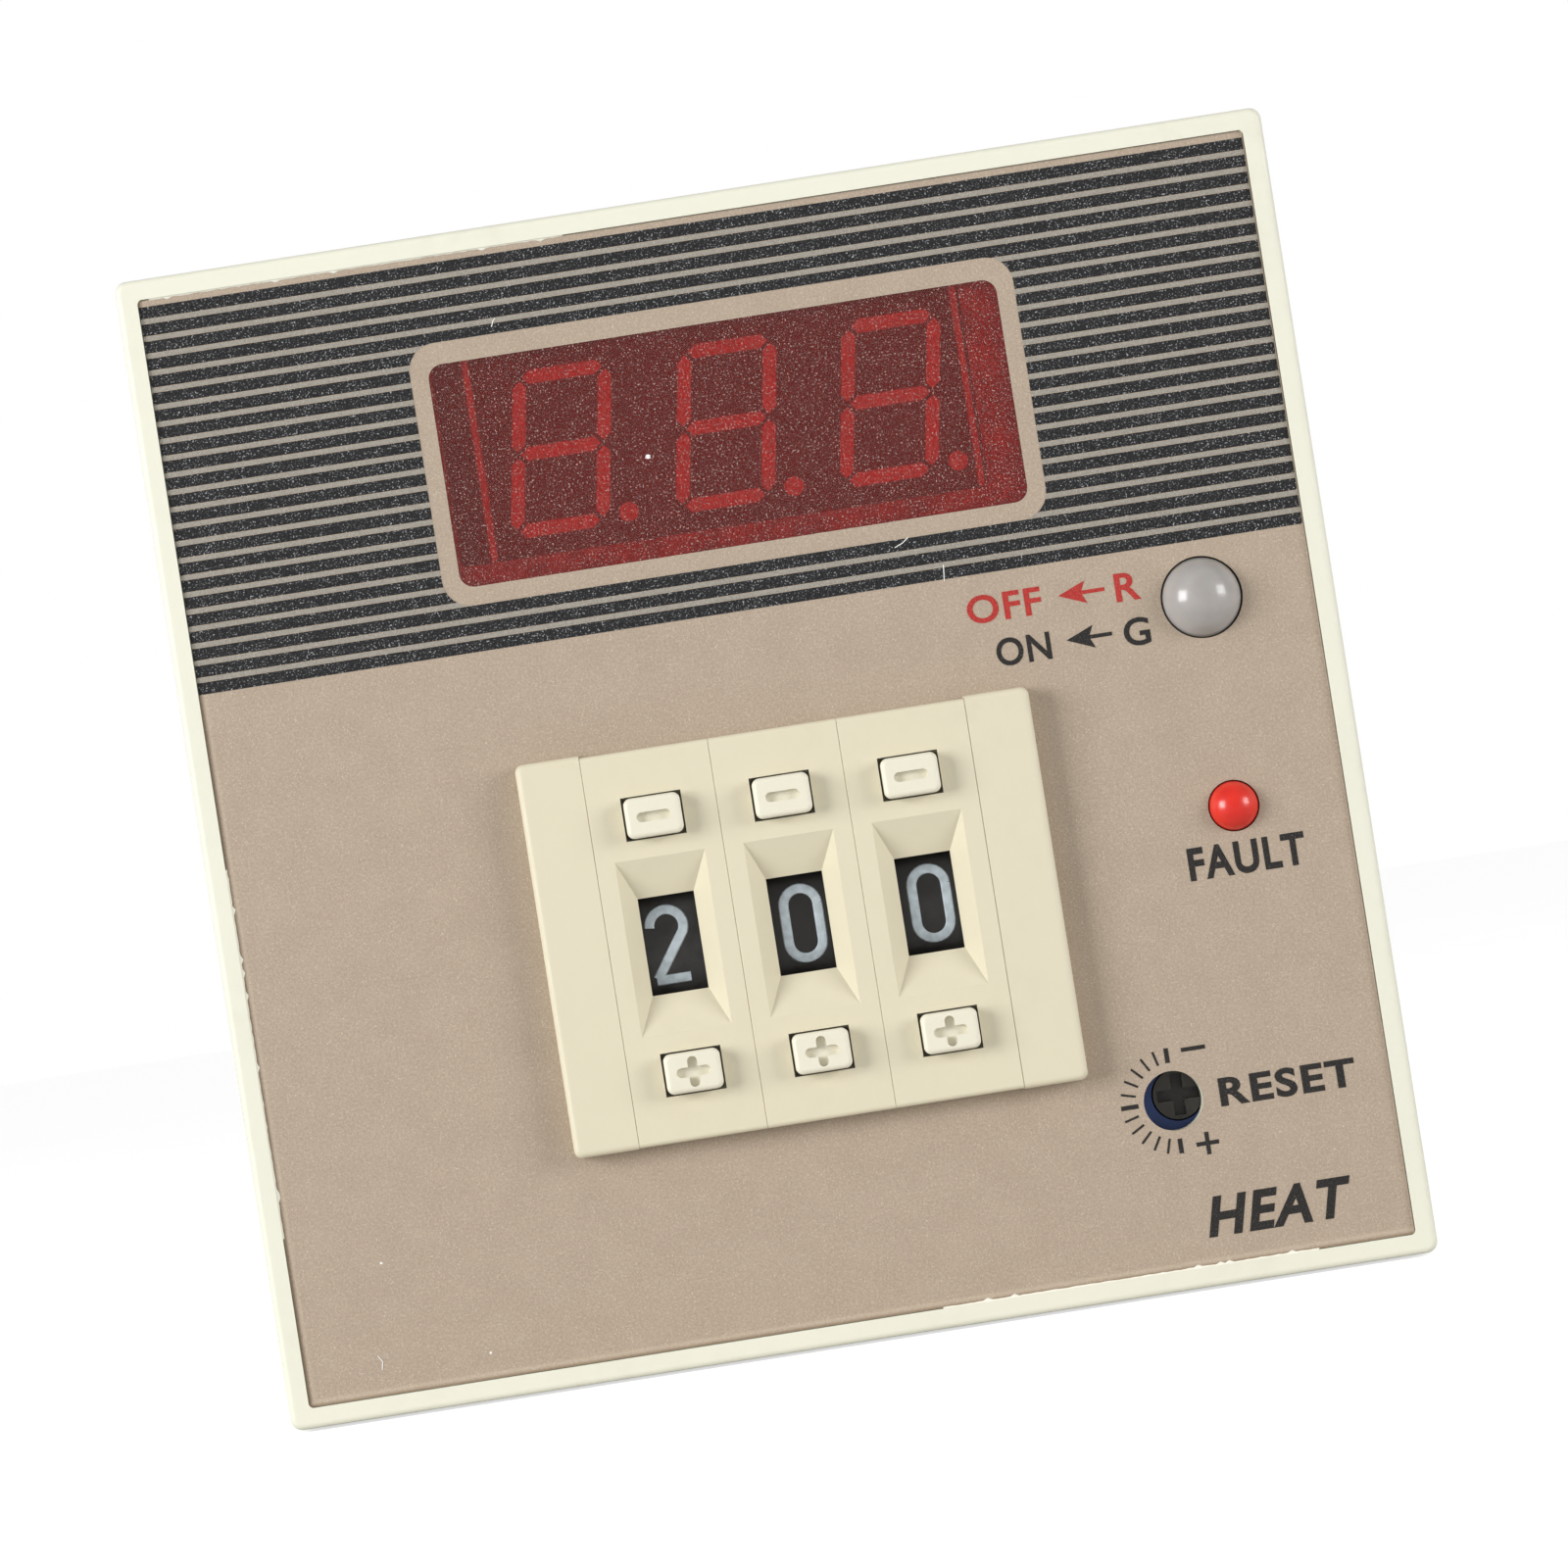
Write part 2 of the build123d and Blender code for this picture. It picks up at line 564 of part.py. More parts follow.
for name, side in (("left", -1), ("right", 1)):
    cap_w = END_CAP_OUT - 1.5 * MODULE_PITCH - SEAM / 2
    body_w = END_CAP_BODY - 1.5 * MODULE_PITCH - SEAM / 2
    with BuildPart() as end_cap:
        with BuildSketch(across(SWITCH_FRONT)):
            with Locations((side * (END_CAP_OUT - cap_w / 2), SWITCH_Z + 0.05)):
                Rectangle(cap_w, END_CAP_H)
        extrude(amount=-(FILM_FRONT - SWITCH_FRONT))
        corners = end_cap.edges().filter_by(Axis.Y).group_by(Axis.X)[0 if side < 0 else -1]
        fillet(corners, CAP_CORNER)
        front_edges = end_cap.faces().sort_by(Axis.Y)[0].edges()
        inner_edge = front_edges.filter_by(Axis.Z).sort_by(Axis.X)[-1 if side < 0 else 0]
        fillet(front_edges.filter_by(lambda edge: edge != inner_edge), 0.4)
        with BuildSketch(across(FILM_FRONT)):
            with Locations((side * (END_CAP_BODY - body_w / 2), SWITCH_Z)):
                Rectangle(body_w, BODY_H)
        extrude(amount=-(SWITCH_REAR - FILM_FRONT))
        # hooks that catch behind the bezel's front wall
        with BuildSketch(sideways(side * 13.6)):
            for hook in (1, -1):
                with BuildLine():
                    Polyline(
                        (WALL_BACK + 0.1, SWITCH_Z + hook * BODY_H / 2),
                        (WALL_BACK + 0.1, SWITCH_Z + hook * (BODY_H / 2 + 0.8)),
                        (WALL_BACK + 2.4, SWITCH_Z + hook * BODY_H / 2), close=True,
                    )
                make_face()
        extrude(amount=1.2, both=True)
        # holes and counterbores for the tie rods
        with BuildSketch(sideways(side * 12.0)):
            for rod in (1, -1):
                with Locations((ROD_YZ[0], SWITCH_Z + rod * ROD_YZ[1])):
                    Circle(ROD_R + 0.1)
        extrude(amount=side * 4.0, mode=Mode.SUBTRACT)
        with BuildSketch(sideways(side * 14.0)):
            for rod in (1, -1):
                with Locations((ROD_YZ[0], SWITCH_Z + rod * ROD_YZ[1])):
                    Circle(1.45)
        extrude(amount=side * 2.0, mode=Mode.SUBTRACT)
    end_cap.part.label = f"end_cap_{name}"
    export_step(end_cap.part, f"parts/end_cap_{name}.step")

with BuildPart() as tie_rods:
    for rod in (1, -1):
        with BuildSketch(sideways(-15.0)):
            with Locations((ROD_YZ[0], SWITCH_Z + rod * ROD_YZ[1])):
                Circle(ROD_R)
        extrude(amount=30.0)
        for side in (1, -1):
            with BuildSketch(sideways(side * 14.05)):
                with Locations((ROD_YZ[0], SWITCH_Z + rod * ROD_YZ[1])):
                    Circle(1.35)
            extrude(amount=side * 0.95)
tie_rods.part.label = "tie_rods"
export_step(tie_rods.part, "parts/tie_rods.step")

# ---------------------------------------------------------------- case
SLOT_FLOOR = 31.9         # bracket channels: floor, lip and half heights
SLOT_LIP = 33.0
SLOT_HALF = 9.0
THROAT_HALF = 6.2
CHANNEL_Y = SKIRT_DEPTH + 2   # front end of the channels and of the ribs
CHANNEL_IN = 30.1         # inner face of the thick sides
RIB_IN = 28.4             # inner end of the ribs beside the boards
RIB_OFF = 1.45            # ribs above and below the middle of each board
POST_Y = 70.0

with BuildPart() as case:
    with BuildSketch(across(-REBATE)):
        RectangleRounded(CASE, CASE, 1.2)
    extrude(amount=-(CASE_DEPTH + REBATE))
    with BuildSketch(across(-REBATE)):
        RectangleRounded(2 * CASE_IN, 2 * CASE_IN, 0.8)
    extrude(amount=-(CASE_DEPTH + REBATE), mode=Mode.SUBTRACT)
    # thicker sides that hold the bracket channels
    with BuildSketch(across(CHANNEL_Y)):
        for side in (1, -1):
            with Locations((side * (CHANNEL_IN + CASE_IN) / 2, 0)):
                Rectangle(CASE_IN - CHANNEL_IN + 0.4, 21.2)
    extrude(amount=-(CASE_DEPTH - CHANNEL_Y))
    for side in (1, -1):
        with BuildSketch(across(CHANNEL_Y)):
            with Locations((side * (SLOT_FLOOR + SLOT_LIP) / 2, 0)):
                Rectangle(SLOT_LIP - SLOT_FLOOR, 2 * SLOT_HALF)
            with Locations((side * (SLOT_LIP + 1), 0)):
                Rectangle(2.0, 2 * THROAT_HALF)
        extrude(amount=-CASE_DEPTH, mode=Mode.SUBTRACT)
    # grooves for the two long boards, between pairs of ribs
    with BuildSketch(across(CHANNEL_Y)):
        for side in (1, -1):
            for board_z in (BOARD_Z, -BOARD_Z):
                for z in (board_z - RIB_OFF, board_z + RIB_OFF):
                    with Locations((side * (RIB_IN + CASE_IN) / 2, z)):
                        Rectangle(CASE_IN - RIB_IN + 0.4, 1.1)
    extrude(amount=-(BOARD_Y[1] - CHANNEL_Y))
    # posts for the four screws of the terminal block
    with BuildSketch(across(POST_Y)):
        for side in (1, -1):
            for up in (1, -1):
                with Locations((side * CASE_SCREW[0], up * CASE_SCREW[1])):
                    Circle(2.9)
                with Locations((side * (CASE_SCREW[0] + 1.7), up * CASE_SCREW[1])):
                    Rectangle(3.4, 4.0)
                with Locations((side * CASE_SCREW[0], up * CASE_SCREW[1])):
                    Circle(1.3, mode=Mode.SUBTRACT)
    extrude(amount=-(CASE_DEPTH - POST_Y))
    # cooling slots and snap windows, through top and bottom
    with BuildSketch(Plane.XY.offset(-CASE / 2 - 1)):
        with Locations((0, 56.0)):
            with GridLocations(24.0, 4.4, 2, 12):
                SlotOverall(19.0, 1.8)
        with Locations((-WEDGE_X, 6.2), (WEDGE_X, 6.2)):
            Rectangle(WEDGE_W + 0.8, 2.8)
    extrude(amount=CASE + 2, mode=Mode.SUBTRACT)
case.part.label = "case"
export_step(case.part, "parts/case.step")

# ---------------------------------------------------------------- terminal block
TERMINAL_XS = [TERMINAL_PITCH * (i - (TERMINALS - 1) / 2) for i in range(TERMINALS)]
BARRIER_XS = [TERMINAL_PITCH * (i - TERMINALS / 2) for i in range(TERMINALS + 1)]
TERMINALS_XZ = [(x, z) for x in TERMINAL_XS for z in (TERMINAL_Z, -TERMINAL_Z)]
CASE_SCREWS_XZ = [(x * CASE_SCREW[0], z * CASE_SCREW[1]) for x in (1, -1) for z in (1, -1)]
BARRIER_T = 1.4
BARRIER_IN = 20.0         # inner wall of the terminal rows
PLATE_REAR = BLOCK_Y + PLATE
CLAMP_T = 1.0
TERMINAL_R = 1.75

with BuildPart() as terminal_block:
    with BuildSketch(across(BLOCK_Y)):
        RectangleRounded(CASE, CASE, 1.2)
        # ways for the brackets to slide on, cooling slots, screw holes
        with Locations((CASE / 2, 0), (-CASE / 2, 0)):
            Rectangle(4.4, 2 * SLOT_HALF + 0.6, mode=Mode.SUBTRACT)
        with GridLocations(0, 6.0, 1, 5):
            SlotOverall(36.0, 2.0, mode=Mode.SUBTRACT)
        with Locations(*CASE_SCREWS_XZ):
            Circle(1.5, mode=Mode.SUBTRACT)
        with Locations(*TERMINALS_XZ):
            Circle(TERMINAL_R + FIT, mode=Mode.SUBTRACT)
    extrude(amount=-PLATE)
    # barriers between the terminals
    with BuildSketch(across(PLATE_REAR)):
        for up in (1, -1):
            for x in BARRIER_XS:
                with Locations((x, up * (BARRIER_IN + 33.0) / 2)):
                    Rectangle(BARRIER_T, 33.0 - BARRIER_IN)
            with Locations((0, up * (BARRIER_IN - 0.3))):
                Rectangle(TERMINAL_PITCH * TERMINALS + BARRIER_T, BARRIER_T)
    extrude(amount=-(BARRIER_REAR - PLATE_REAR))
    # bars that locate the block in the case
    with BuildSketch(across(BLOCK_Y)):
        for up in (1, -1):
            with Locations((0, up * 30.7)):
                Rectangle(50.0, 1.6)
    extrude(amount=3.0)
terminal_block.part.label = "terminal_block"
export_step(terminal_block.part, "parts/terminal_block.step")

with BuildPart() as terminal_clamps:
    with BuildSketch(across(PLATE_REAR)):
        for spot in TERMINALS_XZ:
            with Locations(spot):
                RectangleRounded(7.4, 7.4, 0.5)
                Circle(TERMINAL_R + FIT, mode=Mode.SUBTRACT)
    extrude(amount=-CLAMP_T)
    chamfer(terminal_clamps.faces().filter_by(Axis.Y).sort_by(Axis.Y)[-1].outer_wire().edges(), 0.2)
terminal_clamps.part.label = "terminal_clamps"
export_step(terminal_clamps.part, "parts/terminal_clamps.step")

HEAD_Y = PLATE_REAR + CLAMP_T
HEAD_T = 2.2

with BuildPart() as terminal_screws:
    with BuildSketch(across(88.5)):
        with Locations(*TERMINALS_XZ):
            Circle(TERMINAL_R)
    extrude(amount=-(HEAD_Y - 88.5))
    with BuildSketch(across(HEAD_Y)):
        with Locations(*TERMINALS_XZ):
            Circle(3.2)
    extrude(amount=-HEAD_T)
    fillet(terminal_screws.faces().sort_by(Axis.Y)[-len(TERMINALS_XZ):].edges(), 0.7)
    with BuildSketch(across(HEAD_Y + HEAD_T)):
        for x, z in TERMINALS_XZ:
            turn = 37 * x + 11 * z
            with Locations((x, z)):
                Rectangle(7.0, 0.8, rotation=turn)
                Rectangle(3.2, 0.8, rotation=turn + 90)
    extrude(amount=1.1, mode=Mode.SUBTRACT)
terminal_screws.part.label = "terminal_screws"
export_step(terminal_screws.part, "parts/terminal_screws.step")

with BuildPart() as case_screws:
    with BuildSketch(across(78.0)):
        with Locations(*CASE_SCREWS_XZ):
            Circle(1.25)
    extrude(amount=-(PLATE_REAR - 78.0))
    with BuildSketch(across(PLATE_REAR)):
        with Locations(*CASE_SCREWS_XZ):
            Circle(2.5)
    extrude(amount=-1.7)
    fillet(case_screws.faces().sort_by(Axis.Y)[-4:].edges(), 0.8)
    with BuildSketch(across(PLATE_REAR + 1.7)):
        for x, z in CASE_SCREWS_XZ:
            with Locations((x, z)):
                Rectangle(2.8, 0.6, rotation=21 * x + z)
                Rectangle(2.8, 0.6, rotation=21 * x + z + 90)
    extrude(amount=1.0, mode=Mode.SUBTRACT)
case_screws.part.label = "case_screws"
export_step(case_screws.part, "parts/case_screws.step")

# ---------------------------------------------------------------- long boards and their parts
BOARD_LEN = BOARD_Y[1] - BOARD_Y[0]
BOARD_MID = (BOARD_Y[0] + BOARD_Y[1]) / 2
POWER_TOP = -BOARD_Z + BOARD_T / 2

with BuildPart() as main_board:
    with Locations((0, BOARD_MID, BOARD_Z)):
        Box(2 * BOARD_HALF, BOARD_LEN, BOARD_T)
main_board.part.label = "main_board"
export_step(main_board.part, "parts/main_board.step")

with BuildPart() as power_board:
    with Locations((0, BOARD_MID, -BOARD_Z)):
        Box(2 * BOARD_HALF, BOARD_LEN, BOARD_T)
power_board.part.label = "power_board"
export_step(power_board.part, "parts/power_board.step")

with BuildPart() as main_chips:
    with BuildSketch(Plane.XY.offset(BOARD_Z - BOARD_T / 2)):
        with Locations((-12, 40)):
            Rectangle(13.6, 36.0)
        with Locations((12, 32)):
            Rectangle(6.4, 19.3)
        with Locations((12, 62)):
            Rectangle(6.4, 9.3)
    extrude(amount=-3.6)
    chamfer(main_chips.faces().filter_by(Axis.Z).sort_by(Axis.Z)[:3].edges(), 0.4)
main_chips.part.label = "main_chips"
export_step(main_chips.part, "parts/main_chips.step")

CORE_XY = (-10.0, 58.0)
CORE = (12.0, 30.0, 25.0)
LIMB = 5.0                # side limbs and yokes; the middle limb is twice as wide

with BuildPart() as transformer_core:
    with BuildSketch(sideways(CORE_XY[0] - CORE[0] / 2)):
        with Locations((CORE_XY[1], POWER_TOP + CORE[2] / 2)):
            Rectangle(CORE[1], CORE[2])
            with GridLocations(3 * LIMB, 0, 2, 1):
                Rectangle(LIMB, CORE[2] - 2 * LIMB, mode=Mode.SUBTRACT)
    extrude(amount=CORE[0])
transformer_core.part.label = "transformer_core"
export_step(transformer_core.part, "parts/transformer_core.step")

with BuildPart() as transformer_winding:
    with BuildSketch(Plane.XY.offset(POWER_TOP + LIMB + 0.1)):
        with Locations(CORE_XY):
            RectangleRounded(21.0, 19.6, 1.5)
            Rectangle(CORE[0] + 0.2, 2 * LIMB + 0.2, mode=Mode.SUBTRACT)
    extrude(amount=CORE[2] - 2 * LIMB - 0.2)
transformer_winding.part.label = "transformer_winding"
export_step(transformer_winding.part, "parts/transformer_winding.step")

with BuildPart() as relay:
    with BuildSketch(Plane.XY.offset(POWER_TOP)):
        with Locations((14.0, 64.0)):
            RectangleRounded(15.5, 19.0, 0.6)
    extrude(amount=15.3)
    fillet(relay.faces().sort_by(Axis.Z)[-1].edges(), 0.5)
relay.part.label = "relay"
export_step(relay.part, "parts/relay.step")

with BuildPart() as capacitors:
    for spot, radius, height in (((14.0, 40.0), 6.25, 21.0), ((-14.0, 34.0), 5.0, 16.0)):
        with BuildSketch(Plane.XY.offset(POWER_TOP)):
            with Locations(spot):
                Circle(radius)
        can = extrude(amount=height)
        fillet(can.faces().sort_by(Axis.Z)[-1].edges(), 0.5)
capacitors.part.label = "capacitors"
export_step(capacitors.part, "parts/capacitors.step")

# ---------------------------------------------------------------- mounting brackets
BRACKET_IN = 33.7
BRACKET_OUT = 38.2
END_WALL = 1.8
BRACKET_LEN = BRACKET_Y[1] - BRACKET_Y[0]

for name, side in (("left", -1), ("right", 1)):
    with BuildPart() as bracket:
        # plate on the case, tongue in the channel, boss for the screw
        with BuildSketch(across(BRACKET_Y[0])):
            with Locations((side * (BRACKET_IN + 0.8), 0)):
                Rectangle(1.6, 18.0)
            with Locations((side * (SLOT_LIP + BRACKET_IN) / 2, 0)):
                Rectangle(BRACKET_IN - SLOT_LIP + 0.4, 2 * THROAT_HALF - 0.4)
            with Locations((side * (SLOT_FLOOR + SLOT_LIP) / 2, 0)):
                Rectangle(SLOT_LIP - SLOT_FLOOR - 0.2, 2 * SLOT_HALF - 0.4)
            with Locations((side * (BRACKET_IN + BRACKET_OUT) / 2, 0)):
                RectangleRounded(BRACKET_OUT - BRACKET_IN, 6.4, 0.8)
        extrude(amount=-BRACKET_LEN)
        # end walls that stiffen the plate
        for y in (BRACKET_Y[0], BRACKET_Y[1] - END_WALL):
            with BuildSketch(across(y)):
                with BuildLine():
                    Polyline(
                        (side * BRACKET_IN, 9.0), (side * BRACKET_OUT, 3.2),
                        (side * BRACKET_OUT, -3.2), (side * BRACKET_IN, -9.0), close=True,
                    )
                make_face()
            extrude(amount=-END_WALL)
        # square hole whose flats the screw cuts its thread in
        with BuildSketch(across(BRACKET_Y[0])):
            with Locations((side * SCREW_X, 0)):
                Rectangle(2 * (SCREW_R + SCREW_ROOM), 2 * (SCREW_R + SCREW_ROOM))
        extrude(amount=-BRACKET_LEN, mode=Mode.SUBTRACT)
    bracket.part.label = f"bracket_{name}"
    export_step(bracket.part, f"parts/bracket_{name}.step")

    with BuildPart() as jack_foot:
        with BuildSketch(across(FOOT_Y[0])):
            with Locations((side * SCREW_X, 0)):
                Circle(2.0)
        extrude(amount=-(FOOT_Y[1] - FOOT_Y[0]))
        fillet(jack_foot.faces().sort_by(Axis.Y)[0].edges(), 0.4)
        with BuildSketch(across(FOOT_Y[1])):
            with Locations((side * SCREW_X, 0)):
                Circle(1.0 + FIT)
        extrude(amount=2.8, mode=Mode.SUBTRACT)
    jack_foot.part.label = f"jack_foot_{name}"
    export_step(jack_foot.part, f"parts/jack_foot_{name}.step")

    with BuildPart() as jack_screw:
        with BuildSketch(across(FOOT_Y[1] - 2.7)):
            with Locations((side * SCREW_X, 0)):
                Circle(1.0)
        extrude(amount=-4.0)
        with BuildSketch(across(FOOT_Y[1] + 1.0)):
            with Locations((side * SCREW_X, 0)):
                Circle(SCREW_R)
        extrude(amount=-(SCREW_HEAD_Y[0] - FOOT_Y[1] - 1.0))
        with BuildSketch(across(SCREW_HEAD_Y[0])):
            with Locations((side * SCREW_X, 0)):
                Circle(SCREW_HEAD_R)
        extrude(amount=-(SCREW_HEAD_Y[1] - SCREW_HEAD_Y[0]))
        fillet(jack_screw.faces().sort_by(Axis.Y)[-1].edges(), 0.4)
        with BuildSketch(across(SCREW_HEAD_Y[1])):
            with Locations((side * SCREW_X, 0)):
                Rectangle(0.8, 6.0)
        extrude(amount=1.0, mode=Mode.SUBTRACT)
    jack_screw.part.label = f"jack_screw_{name}"
    export_step(jack_screw.part, f"parts/jack_screw_{name}.step")
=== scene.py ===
import json
import random
from math import cos, pi, radians, sin

import bpy
from bpy.props import FloatProperty, FloatVectorProperty, IntProperty, PointerProperty
from bpy.types import Operator, Panel, PropertyGroup
from mathutils import Euler, Matrix, Vector


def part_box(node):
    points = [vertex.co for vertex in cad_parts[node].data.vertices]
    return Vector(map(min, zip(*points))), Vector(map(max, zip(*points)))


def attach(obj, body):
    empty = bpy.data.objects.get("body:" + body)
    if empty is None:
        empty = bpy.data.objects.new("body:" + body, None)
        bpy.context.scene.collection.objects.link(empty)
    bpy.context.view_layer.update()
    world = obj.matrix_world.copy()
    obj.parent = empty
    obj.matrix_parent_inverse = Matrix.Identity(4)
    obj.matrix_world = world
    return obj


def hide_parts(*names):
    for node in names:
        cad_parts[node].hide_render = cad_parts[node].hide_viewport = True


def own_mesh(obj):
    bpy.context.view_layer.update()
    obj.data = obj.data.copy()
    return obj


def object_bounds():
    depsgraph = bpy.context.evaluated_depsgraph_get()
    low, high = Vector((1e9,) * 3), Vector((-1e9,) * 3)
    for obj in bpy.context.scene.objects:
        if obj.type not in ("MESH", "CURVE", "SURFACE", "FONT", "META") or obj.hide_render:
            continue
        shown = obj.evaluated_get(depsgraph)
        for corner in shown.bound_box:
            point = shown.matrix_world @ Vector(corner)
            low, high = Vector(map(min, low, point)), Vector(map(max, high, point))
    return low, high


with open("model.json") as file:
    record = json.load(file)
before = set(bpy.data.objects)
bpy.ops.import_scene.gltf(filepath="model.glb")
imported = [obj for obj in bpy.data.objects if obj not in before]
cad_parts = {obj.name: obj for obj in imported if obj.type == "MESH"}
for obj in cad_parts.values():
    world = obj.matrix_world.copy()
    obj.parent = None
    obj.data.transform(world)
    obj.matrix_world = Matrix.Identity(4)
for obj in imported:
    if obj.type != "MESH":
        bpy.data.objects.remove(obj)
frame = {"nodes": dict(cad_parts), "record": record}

bl_info = {
    "name": "Panel temperature controller",
    "version": (1, 0, 0),
    "blender": (4, 5, 0),
    "location": "3D View > Sidebar > Controller",
    "description": "Finishes, printing and studio for a panel temperature controller",
    "category": "Object",
}

MM = 0.001
CAD_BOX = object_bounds()
RECORD = frame["record"]
SLOT_OF = {part["node"]: part["material_slot"] for part in RECORD["subparts"]}
BODY = "instrument"
MODULES = ("1", "2", "3")

FILM_LOW, FILM_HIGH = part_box("front_film")
FILM_FACE = FILM_LOW.y
PANE_LOW, PANE_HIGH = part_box("window_filter")
PANE_FLANGE = 1.0 * MM      # hidden flange all round the red window
DISPLAY_LOW, DISPLAY_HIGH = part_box("display_body")


# ---------------------------------------------------------------- settings
def length(name, text, default):
    """A size in metres, shown with the scene's length unit."""
    return FloatProperty(name=name, description=text, default=default, unit="LENGTH", precision=5)


def colour(name, text, default):
    """A colour in linear light."""
    return FloatVectorProperty(name=name, description=text, default=default, size=3,
                               subtype="COLOR", min=0.0, max=1.0)


class PrintSettings(PropertyGroup):
    """Sizes of what is printed on the front film."""

    stripe_count: IntProperty(name="Stripes", description="Dark stripes above the switches",
                              default=23, min=1)
    stripe_pitch: length("Stripe pitch", "From one stripe to the next", 1.066 * MM)
    stripe_height: length("Stripe height", "Height of one stripe", 0.73 * MM)
    stripe_top: length("First stripe", "Height of the middle of the first stripe", 33.72 * MM)
    stripe_end: length("Clear edge", "Bare film at the right end of the stripes", 0.06 * MM)
    frame_width: length("Window frame", "Bare film around the red window", 1.12 * MM)
    frame_radius: length("Frame corner", "Corner radius of the bare film", 1.7 * MM)
    frame_extra: length("Frame top", "Extra bare film above the red window", 0.25 * MM)
    line_height: length("Line height", "Pale line printed between two stripes", 0.25 * MM)
    ink: length("Ink", "Thickness of the ink", 0.02 * MM)


class FinishSettings(PropertyGroup):
    """Colours of the instrument's finishes."""

    ivory: colour("Ivory", "Front frame and case", (0.785, 0.775, 0.65))
    cream: colour("Cream", "Pushwheel switches", (0.70, 0.645, 0.485))
    film: colour("Film", "Printed film", (0.472, 0.378, 0.290))
    line: colour("Lines", "Pale lines between the stripes", (0.36, 0.335, 0.29))
    stripe: colour("Stripes", "Dark stripes", (0.027, 0.027, 0.029))
    ink: colour("Ink", "Dark legends", (0.024, 0.021, 0.019))
    red_ink: colour("Red ink", "Red legends", (0.50, 0.036, 0.030))
    window: colour("Window", "Red window", (0.92, 0.075, 0.060))
    numeral: colour("Numerals", "Numerals on the digit wheels", (0.56, 0.64, 0.70))


class StageSettings(PropertyGroup):
    """Camera, lights and floor."""

    distance: length("Distance", "Camera to the front film", 0.600)
    view_width: length("View width", "Width of the view at the front film", 96.77 * MM)
    azimuth: FloatProperty(name="Azimuth", description="Camera to the left when negative",
                           default=radians(-1.4), subtype="ANGLE")
    elevation: FloatProperty(name="Elevation", description="Camera below when negative",
                             default=radians(-0.8), subtype="ANGLE")
    roll: FloatProperty(name="Roll", description="Turn of the camera about its own axis",
                        default=radians(-8.9), subtype="ANGLE")
    key: FloatProperty(name="Key light", description="Power of the light on the left",
                       default=7.8, unit="POWER")
    fill: FloatProperty(name="Fill light", description="Power of the light on the right",
                        default=4.4, unit="POWER")
    ambience: FloatProperty(name="Ambience", description="Strength of the room's soft light",
                            default=0.4, min=0.0)


# ---------------------------------------------------------------- mesh helpers
def deselect():
    """Leaves edit mode and selects nothing."""
    if bpy.context.object and bpy.context.object.mode != "OBJECT":
        bpy.ops.object.mode_set(mode="OBJECT")
    bpy.ops.object.select_all(action="DESELECT")


def pick(piece):
    """Makes one object the only selected one and the active one."""
    deselect()
    piece.select_set(True)
    bpy.context.view_layer.objects.active = piece


def settle(piece):
    """Puts an object's place, turn and scale into its mesh."""
    pick(piece)
    bpy.ops.object.transform_apply(location=True, rotation=True, scale=True)


def block(name, low, high):
    """Adds a cube between two corners."""
    deselect()
    low, high = Vector(low), Vector(high)
    bpy.ops.mesh.primitive_cube_add(size=1, location=(low + high) / 2)
    piece = bpy.context.object
    piece.name = piece.data.name = name
    piece.scale = high - low
    settle(piece)
    return piece


def apply(piece, kind, **settings):
    """Adds a modifier, sets it and applies it."""
    pick(piece)
    modifier = piece.modifiers.new(kind.title(), kind)
    for key, value in settings.items():
        setattr(modifier, key, value)
    bpy.ops.object.modifier_apply(modifier=modifier.name)


def combine(piece, other, operation="UNION"):
    """Adds one object to another, or cuts it out, and removes it."""
    apply(piece, "BOOLEAN", operation=operation, solver="EXACT", object=other)
    bpy.data.objects.remove(other)


def join(name, pieces):
    """Joins objects into the first and names it."""
    deselect()
    for piece in pieces:
        piece.select_set(True)
    bpy.context.view_layer.objects.active = pieces[0]
    bpy.ops.object.join()
    whole = bpy.context.object
    whole.name = whole.data.name = name
    return whole


def round_edges(piece, along, radius, segments=6):
    """Bevels the edges of a block that run along one axis, 0 to 2."""
    pick(piece)
    bpy.context.tool_settings.mesh_select_mode = (False, True, False)
    bpy.ops.object.mode_set(mode="EDIT")
    bpy.ops.mesh.select_all(action="DESELECT")
    bpy.ops.object.mode_set(mode="OBJECT")
    for edge in piece.data.edges:
        a, b = (piece.data.vertices[i].co for i in edge.vertices)
        run = b - a
        edge.select = abs(run[along]) > 0.99 * run.length
    bpy.ops.object.mode_set(mode="EDIT")
    bpy.ops.mesh.bevel(offset=radius, segments=segments, affect="EDGES")
    bpy.ops.object.mode_set(mode="OBJECT")


def extent(piece):
    """The low and high corners of an object's mesh."""
    return tuple(Vector(end(v.co[axis] for v in piece.data.vertices) for axis in range(3))
                 for end in (min, max))


def place(piece, material, body=BODY):
    """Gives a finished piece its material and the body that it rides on."""
    piece.data.materials.clear()
    piece.data.materials.append(material)
    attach(piece, body)


# ---------------------------------------------------------------- material helpers
def add(tree, kind, **settings):
    """Adds a node; settings are its properties, and in_NAME its plain input values."""
    made = tree.nodes.new(kind)
    for key, value in settings.items():
        if key.startswith("in_"):
            made.inputs[key[3:].replace("_", " ")].default_value = value
        else:
            setattr(made, key, value)
    return made


def dial(node, **values):
    """Sets plain values on a node's inputs."""
    for key, value in values.items():
        node.inputs[key.replace("_", " ")].default_value = value


